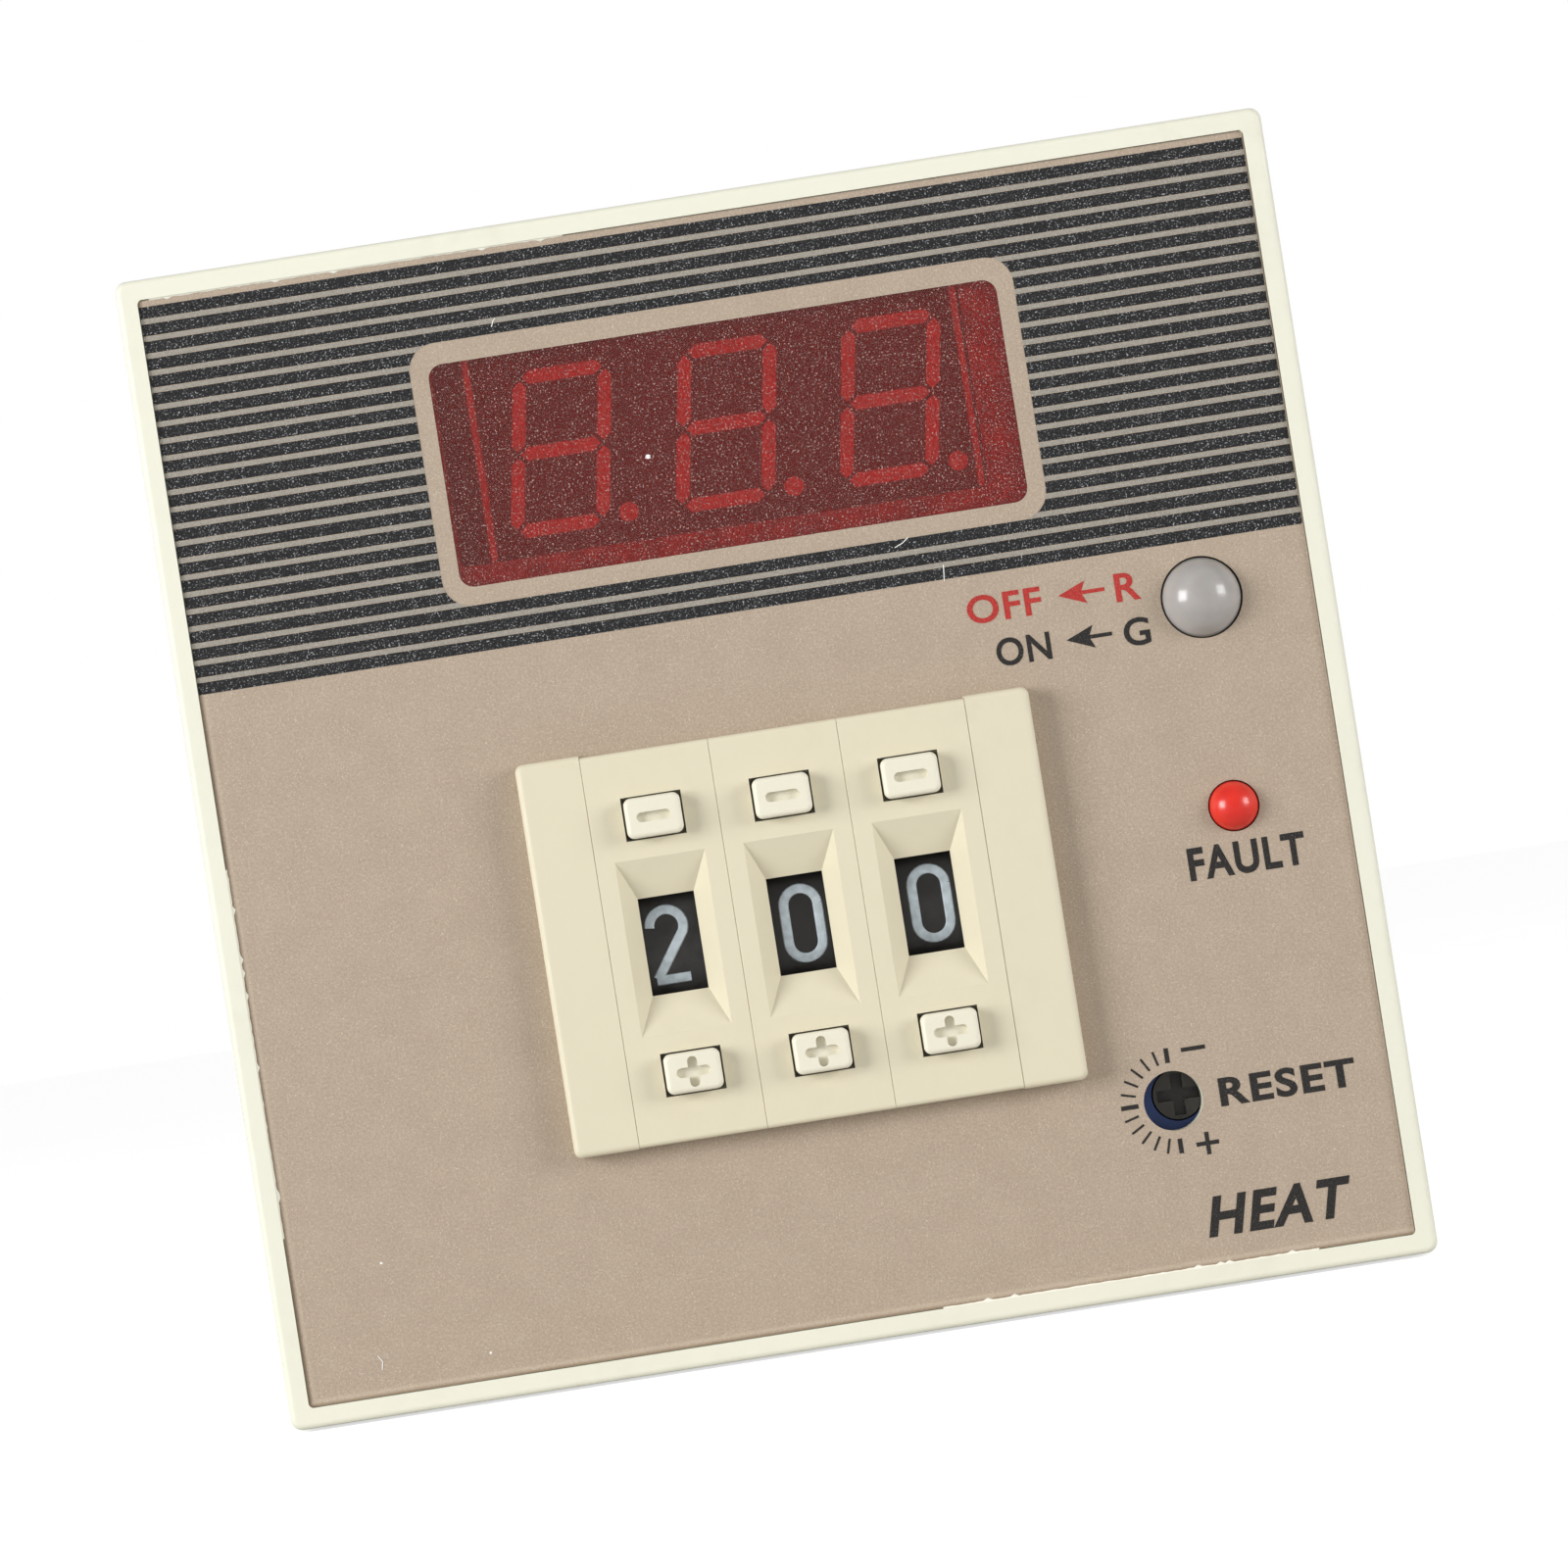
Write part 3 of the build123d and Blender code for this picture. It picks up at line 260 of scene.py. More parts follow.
def coordinates(tree):
    """The X, Y and Z of object coordinates, as the outputs of one node."""
    at = add(tree, "ShaderNodeTexCoord")
    split = add(tree, "ShaderNodeSeparateXYZ")
    tree.links.new(at.outputs["Object"], split.inputs["Vector"])
    return split.outputs


def group(name, inputs, outputs):
    """A new shader node group with named sockets; returns its tree and its two end nodes."""
    tree = bpy.data.node_groups.new(name, "ShaderNodeTree")
    for socket, kind, value in inputs:
        made = tree.interface.new_socket(socket, in_out="INPUT", socket_type=f"NodeSocket{kind}")
        made.default_value = value
    for socket, kind in outputs:
        tree.interface.new_socket(socket, in_out="OUTPUT", socket_type=f"NodeSocket{kind}")
    return tree, tree.nodes.new("NodeGroupInput"), tree.nodes.new("NodeGroupOutput")


def noise(tree, size, detail=2.0, stretch=(1, 1, 1)):
    """Noise on object coordinates with features of about one size, in metres."""
    at = add(tree, "ShaderNodeTexCoord")
    mapped = add(tree, "ShaderNodeMapping", in_Scale=stretch)
    made = add(tree, "ShaderNodeTexNoise", in_Scale=1.0 / size, in_Detail=detail)
    tree.links.new(at.outputs["Object"], mapped.inputs["Vector"])
    tree.links.new(mapped.outputs["Vector"], made.inputs["Vector"])
    return made


def ramp(tree, source, low, high, to_low=0.0, to_high=1.0):
    """Maps a value from one range to another, clamped."""
    made = add(tree, "ShaderNodeMapRange", in_From_Min=low, in_From_Max=high,
               in_To_Min=to_low, in_To_Max=to_high)
    tree.links.new(source, made.inputs["Value"])
    return made.outputs["Result"]


def multiply(tree, a, b):
    """Product of a socket and a socket or number."""
    made = add(tree, "ShaderNodeMath", operation="MULTIPLY")
    tree.links.new(a, made.inputs[0])
    if isinstance(b, (int, float)):
        made.inputs[1].default_value = b
    else:
        tree.links.new(b, made.inputs[1])
    return made.outputs[0]


def blend_colour(tree, factor, a, b, mode="MIX"):
    """Mixes two colours, each a socket or a plain value."""
    made = add(tree, "ShaderNodeMix", data_type="RGBA", blend_type=mode)
    tree.links.new(factor, made.inputs["Factor"])
    for end, value in ((made.inputs[6], a), (made.inputs[7], b)):
        if hasattr(value, "links"):
            tree.links.new(value, end)
        else:
            end.default_value = (*value, 1.0)
    return made.outputs[2]


def film_grain_group():
    """Fine speckle of a matt hard-coated film: mottled colour, bright specks and a pebbled skin."""
    tree, start, end = group(
        "Film grain",
        [("Color", "Color", (0.5, 0.5, 0.5, 1)), ("Fleck Color", "Color", (1, 1, 1, 1)),
         ("Flecks", "Float", 0.5), ("Mottle", "Float", 0.1), ("Fleck Scale", "Float", 12000.0)],
        [("Color", "Color"), ("Sparkle", "Float"), ("Height", "Float")],
    )
    pebble = noise(tree, 0.15 * MM, 2.0)
    cloud = noise(tree, 2.6 * MM, 3.0)
    shade = ramp(tree, pebble.outputs["Fac"], 0.3, 0.7)
    dark = blend_colour(tree, multiply(tree, shade, start.outputs["Mottle"]),
                        start.outputs["Color"], (0.0, 0.0, 0.0))
    drift = ramp(tree, cloud.outputs["Fac"], 0.35, 0.65)
    drifted = blend_colour(tree, drift, dark, (0.955, 0.95, 0.945), "MULTIPLY")
    speck = noise(tree, 0.1 * MM, 1.0)
    tree.links.new(start.outputs["Fleck Scale"], speck.inputs["Scale"])
    sparse = noise(tree, 0.7 * MM, 1.0)
    fleck = multiply(tree, ramp(tree, speck.outputs["Fac"], 0.60, 0.74),
                     ramp(tree, sparse.outputs["Fac"], 0.35, 0.6, 0.45, 1.0))
    sparkle = multiply(tree, fleck, start.outputs["Flecks"])
    flecked = blend_colour(tree, sparkle, drifted, start.outputs["Fleck Color"])
    tree.links.new(flecked, end.inputs["Color"])
    tree.links.new(sparkle, end.inputs["Sparkle"])
    tree.links.new(pebble.outputs["Fac"], end.inputs["Height"])
    return tree


def moulded_skin_group():
    """Skin of a moulded part: slow drift of colour, faint soiling and a fine texture."""
    tree, start, end = group(
        "Moulded skin",
        [("Color", "Color", (0.5, 0.5, 0.5, 1)), ("Soil Color", "Color", (0.3, 0.25, 0.2, 1)),
         ("Soil", "Float", 0.2), ("Gloss", "Float", 0.45)],
        [("Color", "Color"), ("Roughness", "Float"), ("Height", "Float")],
    )
    cloud = noise(tree, 9.0 * MM, 4.0)
    stain = noise(tree, 1.6 * MM, 5.0)
    speck = noise(tree, 0.22 * MM, 1.0)
    patch = multiply(tree, ramp(tree, cloud.outputs["Fac"], 0.42, 0.72),
                     ramp(tree, stain.outputs["Fac"], 0.40, 0.80))
    soiled = blend_colour(tree, multiply(tree, patch, start.outputs["Soil"]),
                          start.outputs["Color"], start.outputs["Soil Color"])
    dots = multiply(tree, ramp(tree, speck.outputs["Fac"], 0.72, 0.80), 0.25)
    spotted = blend_colour(tree, multiply(tree, dots, start.outputs["Soil"]), soiled,
                           start.outputs["Soil Color"])
    rough = add(tree, "ShaderNodeMath", operation="ADD")
    tree.links.new(start.outputs["Gloss"], rough.inputs[0])
    tree.links.new(ramp(tree, stain.outputs["Fac"], 0.3, 0.7, -0.05, 0.08), rough.inputs[1])
    skin = noise(tree, 0.30 * MM, 3.0)
    tree.links.new(spotted, end.inputs["Color"])
    tree.links.new(rough.outputs[0], end.inputs["Roughness"])
    tree.links.new(skin.outputs["Fac"], end.inputs["Height"])
    return tree


def plated_group():
    """Plated steel: turned lines, dull patches and a little tarnish."""
    tree, start, end = group(
        "Plated steel",
        [("Color", "Color", (0.7, 0.7, 0.7, 1)), ("Tarnish Color", "Color", (0.4, 0.35, 0.28, 1)),
         ("Tarnish", "Float", 0.3)],
        [("Color", "Color"), ("Roughness", "Float"), ("Height", "Float")],
    )
    lines = noise(tree, 0.5 * MM, 2.0, stretch=(1, 12, 1))
    patch = noise(tree, 1.2 * MM, 4.0)
    dull = ramp(tree, patch.outputs["Fac"], 0.42, 0.7)
    shade = blend_colour(tree, multiply(tree, dull, start.outputs["Tarnish"]),
                         start.outputs["Color"], start.outputs["Tarnish Color"])
    tree.links.new(shade, end.inputs["Color"])
    tree.links.new(ramp(tree, patch.outputs["Fac"], 0.3, 0.7, 0.22, 0.42), end.inputs["Roughness"])
    tree.links.new(lines.outputs["Fac"], end.inputs["Height"])
    return tree


def shell(name):
    """A new node material; returns it, its tree and its Principled shader."""
    material = bpy.data.materials.new(name)
    material.use_nodes = True
    tree = material.node_tree
    return material, tree, tree.nodes["Principled BSDF"]


def place_group(tree, made, **values):
    """Places a shared group in a material; values are its inputs."""
    used = add(tree, "ShaderNodeGroup", node_tree=made)
    for key, value in values.items():
        socket = used.inputs[key.replace("_", " ")]
        socket.default_value = (*value, 1.0) if isinstance(value, (tuple, list)) else value
    return used


def bump(tree, shader, height, distance, strength=1.0):
    """Feeds a height into the shader's normal."""
    made = add(tree, "ShaderNodeBump", in_Strength=strength, in_Distance=distance)
    tree.links.new(height, made.inputs["Height"])
    tree.links.new(made.outputs["Normal"], shader.inputs["Normal"])


def printed(name, colour_value, fleck, flecks, mottle, rough=0.5, gloss=0.35, size=0.085):
    """Ink or film surface with the film's grain, whose specks glint."""
    material, tree, shader = shell(name)
    used = place_group(tree, bpy.data.node_groups["Film grain"], Color=colour_value,
                       Fleck_Color=fleck, Flecks=flecks, Mottle=mottle,
                       Fleck_Scale=1.0 / (size * MM))
    tree.links.new(used.outputs["Color"], shader.inputs["Base Color"])
    tree.links.new(used.outputs["Sparkle"], shader.inputs["Coat Weight"])
    dial(shader, Coat_Roughness=0.35, Coat_IOR=1.5, Roughness=rough, Specular_IOR_Level=gloss)
    bump(tree, shader, used.outputs["Height"], 0.03 * MM, 0.5)
    return material


def moulded(name, colour_value, soil_colour, soil, gloss, depth=0.012, metallic=0.0):
    """Moulded plastic."""
    material, tree, shader = shell(name)
    used = place_group(tree, bpy.data.node_groups["Moulded skin"], Color=colour_value,
                       Soil_Color=soil_colour, Soil=soil, Gloss=gloss)
    tree.links.new(used.outputs["Color"], shader.inputs["Base Color"])
    tree.links.new(used.outputs["Roughness"], shader.inputs["Roughness"])
    dial(shader, Metallic=metallic)
    bump(tree, shader, used.outputs["Height"], depth * MM, 0.6)
    return material


def plated(name, colour_value, tarnish_colour, tarnish):
    """Plated or bare metal."""
    material, tree, shader = shell(name)
    used = place_group(tree, bpy.data.node_groups["Plated steel"], Color=colour_value,
                       Tarnish_Color=tarnish_colour, Tarnish=tarnish)
    tree.links.new(used.outputs["Color"], shader.inputs["Base Color"])
    tree.links.new(used.outputs["Roughness"], shader.inputs["Roughness"])
    dial(shader, Metallic=1.0)
    bump(tree, shader, used.outputs["Height"], 0.01 * MM, 0.4)
    return material


# ---------------------------------------------------------------- finishes of the CAD nodes
def red_window(finish):
    """Clear red film under its matt coat."""
    material = printed("red_window", tuple(finish.window), (0.95, 0.62, 0.56), 0.5, 0.35, 0.22, 0.5)
    dial(material.node_tree.nodes["Principled BSDF"], Transmission_Weight=0.93, IOR=1.45)
    return material


def matt_coat():
    """The window's matt coat: nearly clear, with a cloud of pale specks."""
    material = printed("matt_coat", (0.80, 0.56, 0.50), (0.52, 0.30, 0.26), 1.0, 0.2, 0.6,
                       size=0.11)
    tree = material.node_tree
    grain = next(node for node in tree.nodes if node.type == "GROUP")
    specks = ramp(tree, grain.outputs["Sparkle"], 0.1, 0.7, 0.004, 0.8)
    pebbles = ramp(tree, grain.outputs["Height"], 0.45, 0.75, 0.0, 0.035)
    haze = add(tree, "ShaderNodeMath", operation="ADD")
    tree.links.new(specks, haze.inputs[0])
    tree.links.new(pebbles, haze.inputs[1])
    tree.links.new(haze.outputs[0], tree.nodes["Principled BSDF"].inputs["Alpha"])
    return material


def ivory_surface(ivory, grime):
    """Ivory plastic, with blotchy painted shade on the seat of the red window, where it lies in
    shadow.
    """
    material = moulded("ivory_case", ivory, grime, 0.16, 0.42)
    tree = material.node_tree
    shader = tree.nodes["Principled BSDF"]
    depth, seat_y = coordinates(tree)["Y"], PANE_HIGH.y
    # painted shade: dark brown blotches on the window's seat stand for the shadow that falls there
    seat = multiply(tree, ramp(tree, depth, seat_y, seat_y + 0.02 * MM),
                    ramp(tree, depth, seat_y + 0.2 * MM, seat_y + 0.1 * MM))
    shade_blotch = noise(tree, 2.2 * MM, 3.0)
    seat_shade = multiply(tree, seat, ramp(tree, shade_blotch.outputs["Fac"], 0.35, 0.65, 0.25, 0.75))
    skin = shader.inputs["Base Color"].links[0].from_socket
    tree.links.new(blend_colour(tree, seat_shade, skin, (0.16, 0.12, 0.09)), shader.inputs["Base Color"])
    return material


def film_surface(finish):
    """The film: a brown painted shadow along its left and bottom edges where it meets the frame,
    with a pale band painted just inside it.
    """
    material = printed("printed_film", tuple(finish.film), (0.74, 0.65, 0.50), 0.55, 0.20)
    tree = material.node_tree
    shader = tree.nodes["Principled BSDF"]
    at = coordinates(tree)
    near = add(tree, "ShaderNodeMath", operation="MINIMUM")
    for end, axis, low in ((0, "X", FILM_LOW.x), (1, "Z", FILM_LOW.z)):
        tree.links.new(ramp(tree, at[axis], low, low + 1 * MM), near.inputs[end])
    line = multiply(tree, ramp(tree, near.outputs[0], 0.15, 0.30),
                    ramp(tree, near.outputs[0], 0.50, 0.32))
    grain = shader.inputs["Base Color"].links[0].from_socket
    lined = blend_colour(tree, multiply(tree, line, 0.25), grain, (0.72, 0.60, 0.46))
    # painted shadow: brown darkening along the film's left and bottom edges, where the frame's wall
    # shades it
    edge_shade = ramp(tree, near.outputs[0], 0.16, 0.08, 0.0, 0.6)
    tree.links.new(blend_colour(tree, edge_shade, lined, (0.22, 0.15, 0.08)), shader.inputs["Base Color"])
    return material


def display_shell():
    """White shell whose front is printed dark up to a bare line at each side."""
    material, tree, shader = shell("display_shell")
    at = coordinates(tree)
    front = ramp(tree, at["Y"], DISPLAY_LOW.y + 0.05 * MM, DISPLAY_LOW.y + 0.02 * MM)
    bare, fade = 0.35 * MM, 0.1 * MM
    left = ramp(tree, at["X"], DISPLAY_LOW.x + bare, DISPLAY_LOW.x + bare + fade)
    right = ramp(tree, at["X"], DISPLAY_HIGH.x - bare, DISPLAY_HIGH.x - bare - fade)
    face = multiply(tree, front, multiply(tree, left, right))
    tree.links.new(blend_colour(tree, face, (0.85, 0.84, 0.80), (0.040, 0.030, 0.030)),
                   shader.inputs["Base Color"])
    dial(shader, Roughness=0.4)
    return material


def lens(name, colour_value, depth_colour, rough, coat):
    """Diffused resin of a lamp: light scatters a little way in under a smooth skin."""
    material, tree, shader = shell(name)
    swirl = noise(tree, 1.4 * MM, 2.0)
    mixed = blend_colour(tree, ramp(tree, swirl.outputs["Fac"], 0.35, 0.65), colour_value,
                         depth_colour)
    tree.links.new(mixed, shader.inputs["Base Color"])
    dial(shader, Roughness=rough, Subsurface_Weight=0.3, Subsurface_Scale=1.0 * MM,
         Coat_Weight=coat, Coat_Roughness=0.14)
    return material


def finishes(finish):
    """One material for each of the record's slots."""
    ivory, cream = tuple(finish.ivory), tuple(finish.cream)
    grime = (0.36, 0.29, 0.20)
    black = (0.02, 0.02, 0.02)
    return {
        "ivory_case": ivory_surface(ivory, grime),
        "printed_film": film_surface(finish),
        "red_window": red_window(finish),
        "display_shell": display_shell(),
        "display_segment": moulded("display_segment", (0.95, 0.90, 0.86), grime, 0.05, 0.35),
        "milky_lamp": lens("milky_lamp", (0.405, 0.385, 0.370), (0.365, 0.345, 0.330), 0.30, 0.45),
        "red_lamp": lens("red_lamp", (0.76, 0.026, 0.010), (0.66, 0.018, 0.008), 0.30, 0.3),
        "tinned_wire": plated("tinned_wire", (0.72, 0.71, 0.68), (0.45, 0.44, 0.42), 0.4),
        "blue_shell": moulded("blue_shell", (0.020, 0.055, 0.22), black, 0.3, 0.32),
        "dark_rotor": moulded("dark_rotor", (0.060, 0.055, 0.050), black, 0.4, 0.30),
        "circuit_board": moulded("circuit_board", (0.03, 0.16, 0.08), (0.20, 0.24, 0.08), 0.5, 0.3),
        "cream_switch": moulded("cream_switch", cream, grime, 0.14, 0.45),
        "cream_button": moulded("cream_button", (0.78, 0.745, 0.61), grime, 0.10, 0.36),
        "wheel_black": moulded("wheel_black", (0.016, 0.015, 0.014), (0.10, 0.10, 0.10), 0.5, 0.42),
        "contact_brass": plated("contact_brass", (0.75, 0.55, 0.25), (0.30, 0.18, 0.08), 0.5),
        "spring_steel": plated("spring_steel", (0.55, 0.55, 0.55), (0.30, 0.28, 0.26), 0.3),
        "zinc_steel": plated("zinc_steel", (0.66, 0.67, 0.68), (0.42, 0.40, 0.36), 0.5),
        "black_phenolic": moulded("black_phenolic", (0.018, 0.017, 0.016), (0.14, 0.13, 0.12),
                                  0.35, 0.34),
        "nickel_steel": plated("nickel_steel", (0.68, 0.65, 0.60), (0.38, 0.31, 0.22), 0.5),
        "chip_black": moulded("chip_black", black, (0.08, 0.08, 0.08), 0.5, 0.5),
        "core_steel": moulded("core_steel", (0.06, 0.05, 0.045), (0.20, 0.09, 0.04), 0.6, 0.4),
        "winding_tape": moulded("winding_tape", (0.66, 0.48, 0.06), grime, 0.3, 0.25),
        "relay_shell": moulded("relay_shell", (0.03, 0.10, 0.36), black, 0.2, 0.3),
        "capacitor_sleeve": moulded("capacitor_sleeve", (0.02, 0.03, 0.08), black, 0.2, 0.25),
        "black_nylon": moulded("black_nylon", (0.022, 0.022, 0.022), (0.12, 0.12, 0.11), 0.3, 0.48),
    }


class CONTROLLER_OT_finishes(Operator):
    """Make the shared node groups and give every CAD node its finish"""

    bl_idname = "controller.finishes"
    bl_label = "Finishes"

    def execute(self, context):
        film_grain_group()
        moulded_skin_group()
        plated_group()
        made = finishes(context.scene.controller_finish)
        for name, node in frame["nodes"].items():
            node.material_slots[0].material = made[SLOT_OF[name]]
        return {"FINISHED"}


# ---------------------------------------------------------------- printing on the film
class CONTROLLER_OT_stripes(Operator):
    """Print the dark stripes, cut back around the red window"""

    bl_idname = "controller.stripes"
    bl_label = "Stripes"

    def execute(self, context):
        sizes = context.scene.controller_print
        finish = context.scene.controller_finish
        pitch = sizes.stripe_pitch
        dark = printed("stripe_ink", tuple(finish.stripe), (0.46, 0.46, 0.47), 1.0, 0.6,
                       gloss=0.22, size=0.1)
        pale = printed("line_ink", tuple(finish.line), (0.75, 0.73, 0.68), 0.5, 0.25)
        top, count = sizes.stripe_top, sizes.stripe_count
        edge = sizes.frame_width - PANE_FLANGE
        for name, start, height, count, material in (
            ("stripes", top, sizes.stripe_height, count, dark),
            ("lines", top - pitch / 2, sizes.line_height, count - 1, pale),
        ):
            rows = block(name, (FILM_LOW.x, FILM_FACE - sizes.ink, start - height / 2),
                         (FILM_HIGH.x - sizes.stripe_end, FILM_FACE, start + height / 2))
            apply(rows, "ARRAY", count=count, use_relative_offset=False,
                  use_constant_offset=True, constant_offset_displace=(0, 0, -pitch))
            cutter = block(
                "window_frame",
                (PANE_LOW.x - edge, FILM_FACE - 1 * MM, PANE_LOW.z - edge),
                (PANE_HIGH.x + edge, FILM_FACE + 1 * MM, PANE_HIGH.z + edge + sizes.frame_extra),
            )
            round_edges(cutter, 1, sizes.frame_radius)
            combine(rows, cutter, "DIFFERENCE")
            place(rows, material)
        return {"FINISHED"}


class CONTROLLER_OT_window_coat(Operator):
    """Lay the matt coat over the red window's raised pane"""

    bl_idname = "controller.window_coat"
    bl_label = "Window coat"

    def execute(self, context):
        inset, corner = 1.02 * MM, 0.9 * MM
        outside, inside = FILM_FACE - 0.01 * MM, FILM_FACE - 0.002 * MM
        coat = block("window_coat", (PANE_LOW.x + inset, outside, PANE_LOW.z + inset),
                     (PANE_HIGH.x - inset, inside, PANE_HIGH.z - inset))
        round_edges(coat, 1, corner)
        place(coat, matt_coat())
        return {"FINISHED"}


TEXT_SIZE = 0.01            # before the text is stretched to its box


def words(name, text, low, high, weight, slant):
    """Text on the film, stretched to fill the box from low to high, both (x, z)."""
    deselect()
    bpy.ops.object.text_add(location=(0, 0, 0), rotation=(pi / 2, 0, 0))
    piece = bpy.context.object
    piece.data.body = text
    piece.data.size = TEXT_SIZE
    piece.data.offset = weight * TEXT_SIZE
    piece.data.space_character = 1.0 + 4 * weight
    piece.data.shear = slant
    piece.data.extrude = bpy.context.scene.controller_print.ink / 2
    piece.data.resolution_u = 5
    bpy.ops.object.convert(target="MESH")
    piece = bpy.context.object
    piece.name = piece.data.name = name
    settle(piece)
    fit(piece, low, high)
    return piece


def fit(piece, low, high):
    """Moves and stretches a mesh so that it fills a box in X and Z and lies on the film."""
    near, far = extent(piece)
    scale_x = (high[0] - low[0]) / (far.x - near.x)
    scale_z = (high[1] - low[1]) / (far.z - near.z)
    piece.scale = (scale_x, 1, scale_z)
    piece.location = (low[0] - near.x * scale_x, FILM_FACE - far.y, low[1] - near.z * scale_z)
    settle(piece)


def arrow(name, tip, height, length_x):
    """Arrow that points left: a swept head with a notched back, and a thin shaft."""
    ink_face = FILM_FACE - bpy.context.scene.controller_print.ink
    half, point = 0.72 * MM, 0.02 * MM
    head_end, notch_tip, notch_end = tip + 1.72 * MM, tip + 1.38 * MM, tip + 3.0 * MM
    notch_half = 3.6 * MM
    head = block(name, (tip, ink_face, height - half), (head_end, FILM_FACE, height + half))
    notch = block("notch", (notch_tip, FILM_FACE - 1 * MM, height - half),
                  (notch_end, FILM_FACE + 1 * MM, height + half))
    for wedge, far_half in ((head, half), (notch, notch_half)):
        low, high = extent(wedge)
        middle_x = (low.x + high.x) / 2
        for vertex in wedge.data.vertices:
            reach = point if vertex.co.x < middle_x else far_half
            vertex.co.z = height + (reach if vertex.co.z > height else -reach)
    combine(head, notch, "DIFFERENCE")
    shaft_half = 0.12 * MM
    shaft = block("shaft", (tip + 1.2 * MM, ink_face, height - shaft_half),
                  (tip + length_x, FILM_FACE, height + shaft_half))
    combine(head, shaft)
    return head


class CONTROLLER_OT_legends(Operator):
    """Print the legends beside the lamps and the trimmer"""

    bl_idname = "controller.legends"
    bl_label = "Legends"

    def execute(self, context):
        finish = context.scene.controller_finish
        ink = printed("legend_ink", tuple(finish.ink), (0.30, 0.29, 0.27), 0.35, 0.4)
        red = printed("legend_red", tuple(finish.red_ink), (0.75, 0.40, 0.32), 0.35, 0.3)
        legends = [
            ("legend_off", "OFF", (13.1, 6.84), (17.73, 8.6), 0.020, 0, red),
            ("legend_r", "R", (22.36, 6.84), (23.9, 8.6), 0.018, 0, red),
            ("legend_on", "ON", (14.5, 4.0), (17.9, 5.75), 0.018, 0, ink),
            ("legend_g", "G", (22.47, 4.0), (24.1, 5.75), 0.018, 0, ink),
            ("legend_fault", "FAULT", (24.2, -10.93), (31.5, -8.86), 0.031, 0, ink),
            ("legend_reset", "RESET", (23.9, -24.94), (32.4, -23.14), 0.031, 0, ink),
            ("legend_heat", "HEAT", (21.9, -32.8), (31.05, -30.3), 0.033, 0.25, ink),
        ]
        for name, text, low, high, weight, slant, material in legends:
            low, high = ([v * MM for v in corner] for corner in (low, high))
            place(words(name, text, low, high, weight, slant), material)
        place(arrow("arrow_off", 18.86 * MM, 7.79 * MM, 2.84 * MM), red)
        place(arrow("arrow_on", 18.94 * MM, 5.0 * MM, 2.81 * MM), ink)
        return {"FINISHED"}


class CONTROLLER_OT_trimmer_scale(Operator):
    """Print the ticks and the signs around the trimmer's hole"""

    bl_idname = "controller.trimmer_scale"
    bl_label = "Trimmer scale"

    def execute(self, context):
        ink_face = FILM_FACE - context.scene.controller_print.ink
        centre = Vector((21.03 * MM, 0, -24.1 * MM))
        steps, outer = 12, 3.28 * MM
        marks = []
        for step in range(steps + 1):
            bold = step % (steps // 2) == 0
            width = (0.28 if bold else 0.14) * MM
            inner = (2.2 if step == steps // 2 else 2.36) * MM
            tick = block("tick", (-width / 2, ink_face, inner), (width / 2, FILM_FACE, outer))
            tick.rotation_euler = Euler((0, -pi * step / steps, 0))
            tick.location = centre
            settle(tick)
            marks.append(tick)
        sign_x, thin = 22.71, 0.13
        minus, plus, upright = [
            block("sign", ((sign_x - half_x) * MM, ink_face, (z - half_z) * MM),
                  ((sign_x + half_x) * MM, FILM_FACE, (z + half_z) * MM))
            for z, half_x, half_z in ((-21.08, 0.75, thin), (-27.0, 0.70, thin),
                                      (-27.0, thin, 0.70))
        ]
        combine(plus, upright)
        marks += [minus, plus]
        place(join("trimmer_scale", marks), bpy.data.materials["legend_ink"])
        return {"FINISHED"}


# ---------------------------------------------------------------- numerals on the wheels
STROKE = 0.64 * MM          # width of a numeral's strokes
HALF_W = 1.06               # half of a numeral's width and height, in millimetres
HALF_H = 2.19
INK_FLATNESS = 0.08         # thickness of the ink over the stroke's width
NUMERALS = 10


def arc(x, z, rx, rz, start, end, steps=12):
    """Points on an ellipse from one angle to another, in degrees."""
    turns = [radians(start + (end - start) * i / steps) for i in range(steps + 1)]
    return [(x + rx * cos(t), z + rz * sin(t)) for t in turns]


def numeral_strokes():
    """Centre lines of the ten numerals, in millimetres about each numeral's middle."""
    w, h = HALF_W, HALF_H
    bowl = h - w
    six = [(0.80, h)] + arc(0.35, 0.2, 1.43, 2.05, 110, 180, 8) + arc(0, -bowl, w, w, 180, 530, 24)
    return [
        [arc(0, bowl, w, w, 0, 180) + arc(0, -bowl, w, w, 180, 360) + [(w, bowl)]],
        [[(0.25, -h), (0.25, h)], [(0.25, h - 0.1), (-0.75, h - 0.95)]],
        [arc(0, bowl, w, w, 180, -25, 16) + [(-w + 0.08, -h + 0.12)], [(-w, -h), (w, -h)]],
        [arc(0, bowl + 0.05, w - 0.08, w - 0.05, 155, -88, 16),
         arc(0, -bowl, w, w + 0.02, 90, -155, 16)],
        [[(0.45, h), (-w, -0.85)], [(-w, -0.95), (w + 0.1, -0.95)], [(0.55, 0.3), (0.55, -h)]],
        [[(w - 0.1, h), (-0.85, h)], [(-0.85, h), (-0.95, 0.25)],
         arc(0, -bowl + 0.1, w, w + 0.08, 135, -150, 18)],
        [six],
        [[(-w, h), (w, h)], [(w - 0.05, h - 0.1), (-0.3, -h)]],
        [arc(0, bowl + 0.07, w - 0.12, w - 0.1, -90, 270, 24),
         arc(0, -bowl, w, w + 0.04, 90, 450, 24)],
        [[(-x, -z) for x, z in six]],
    ]


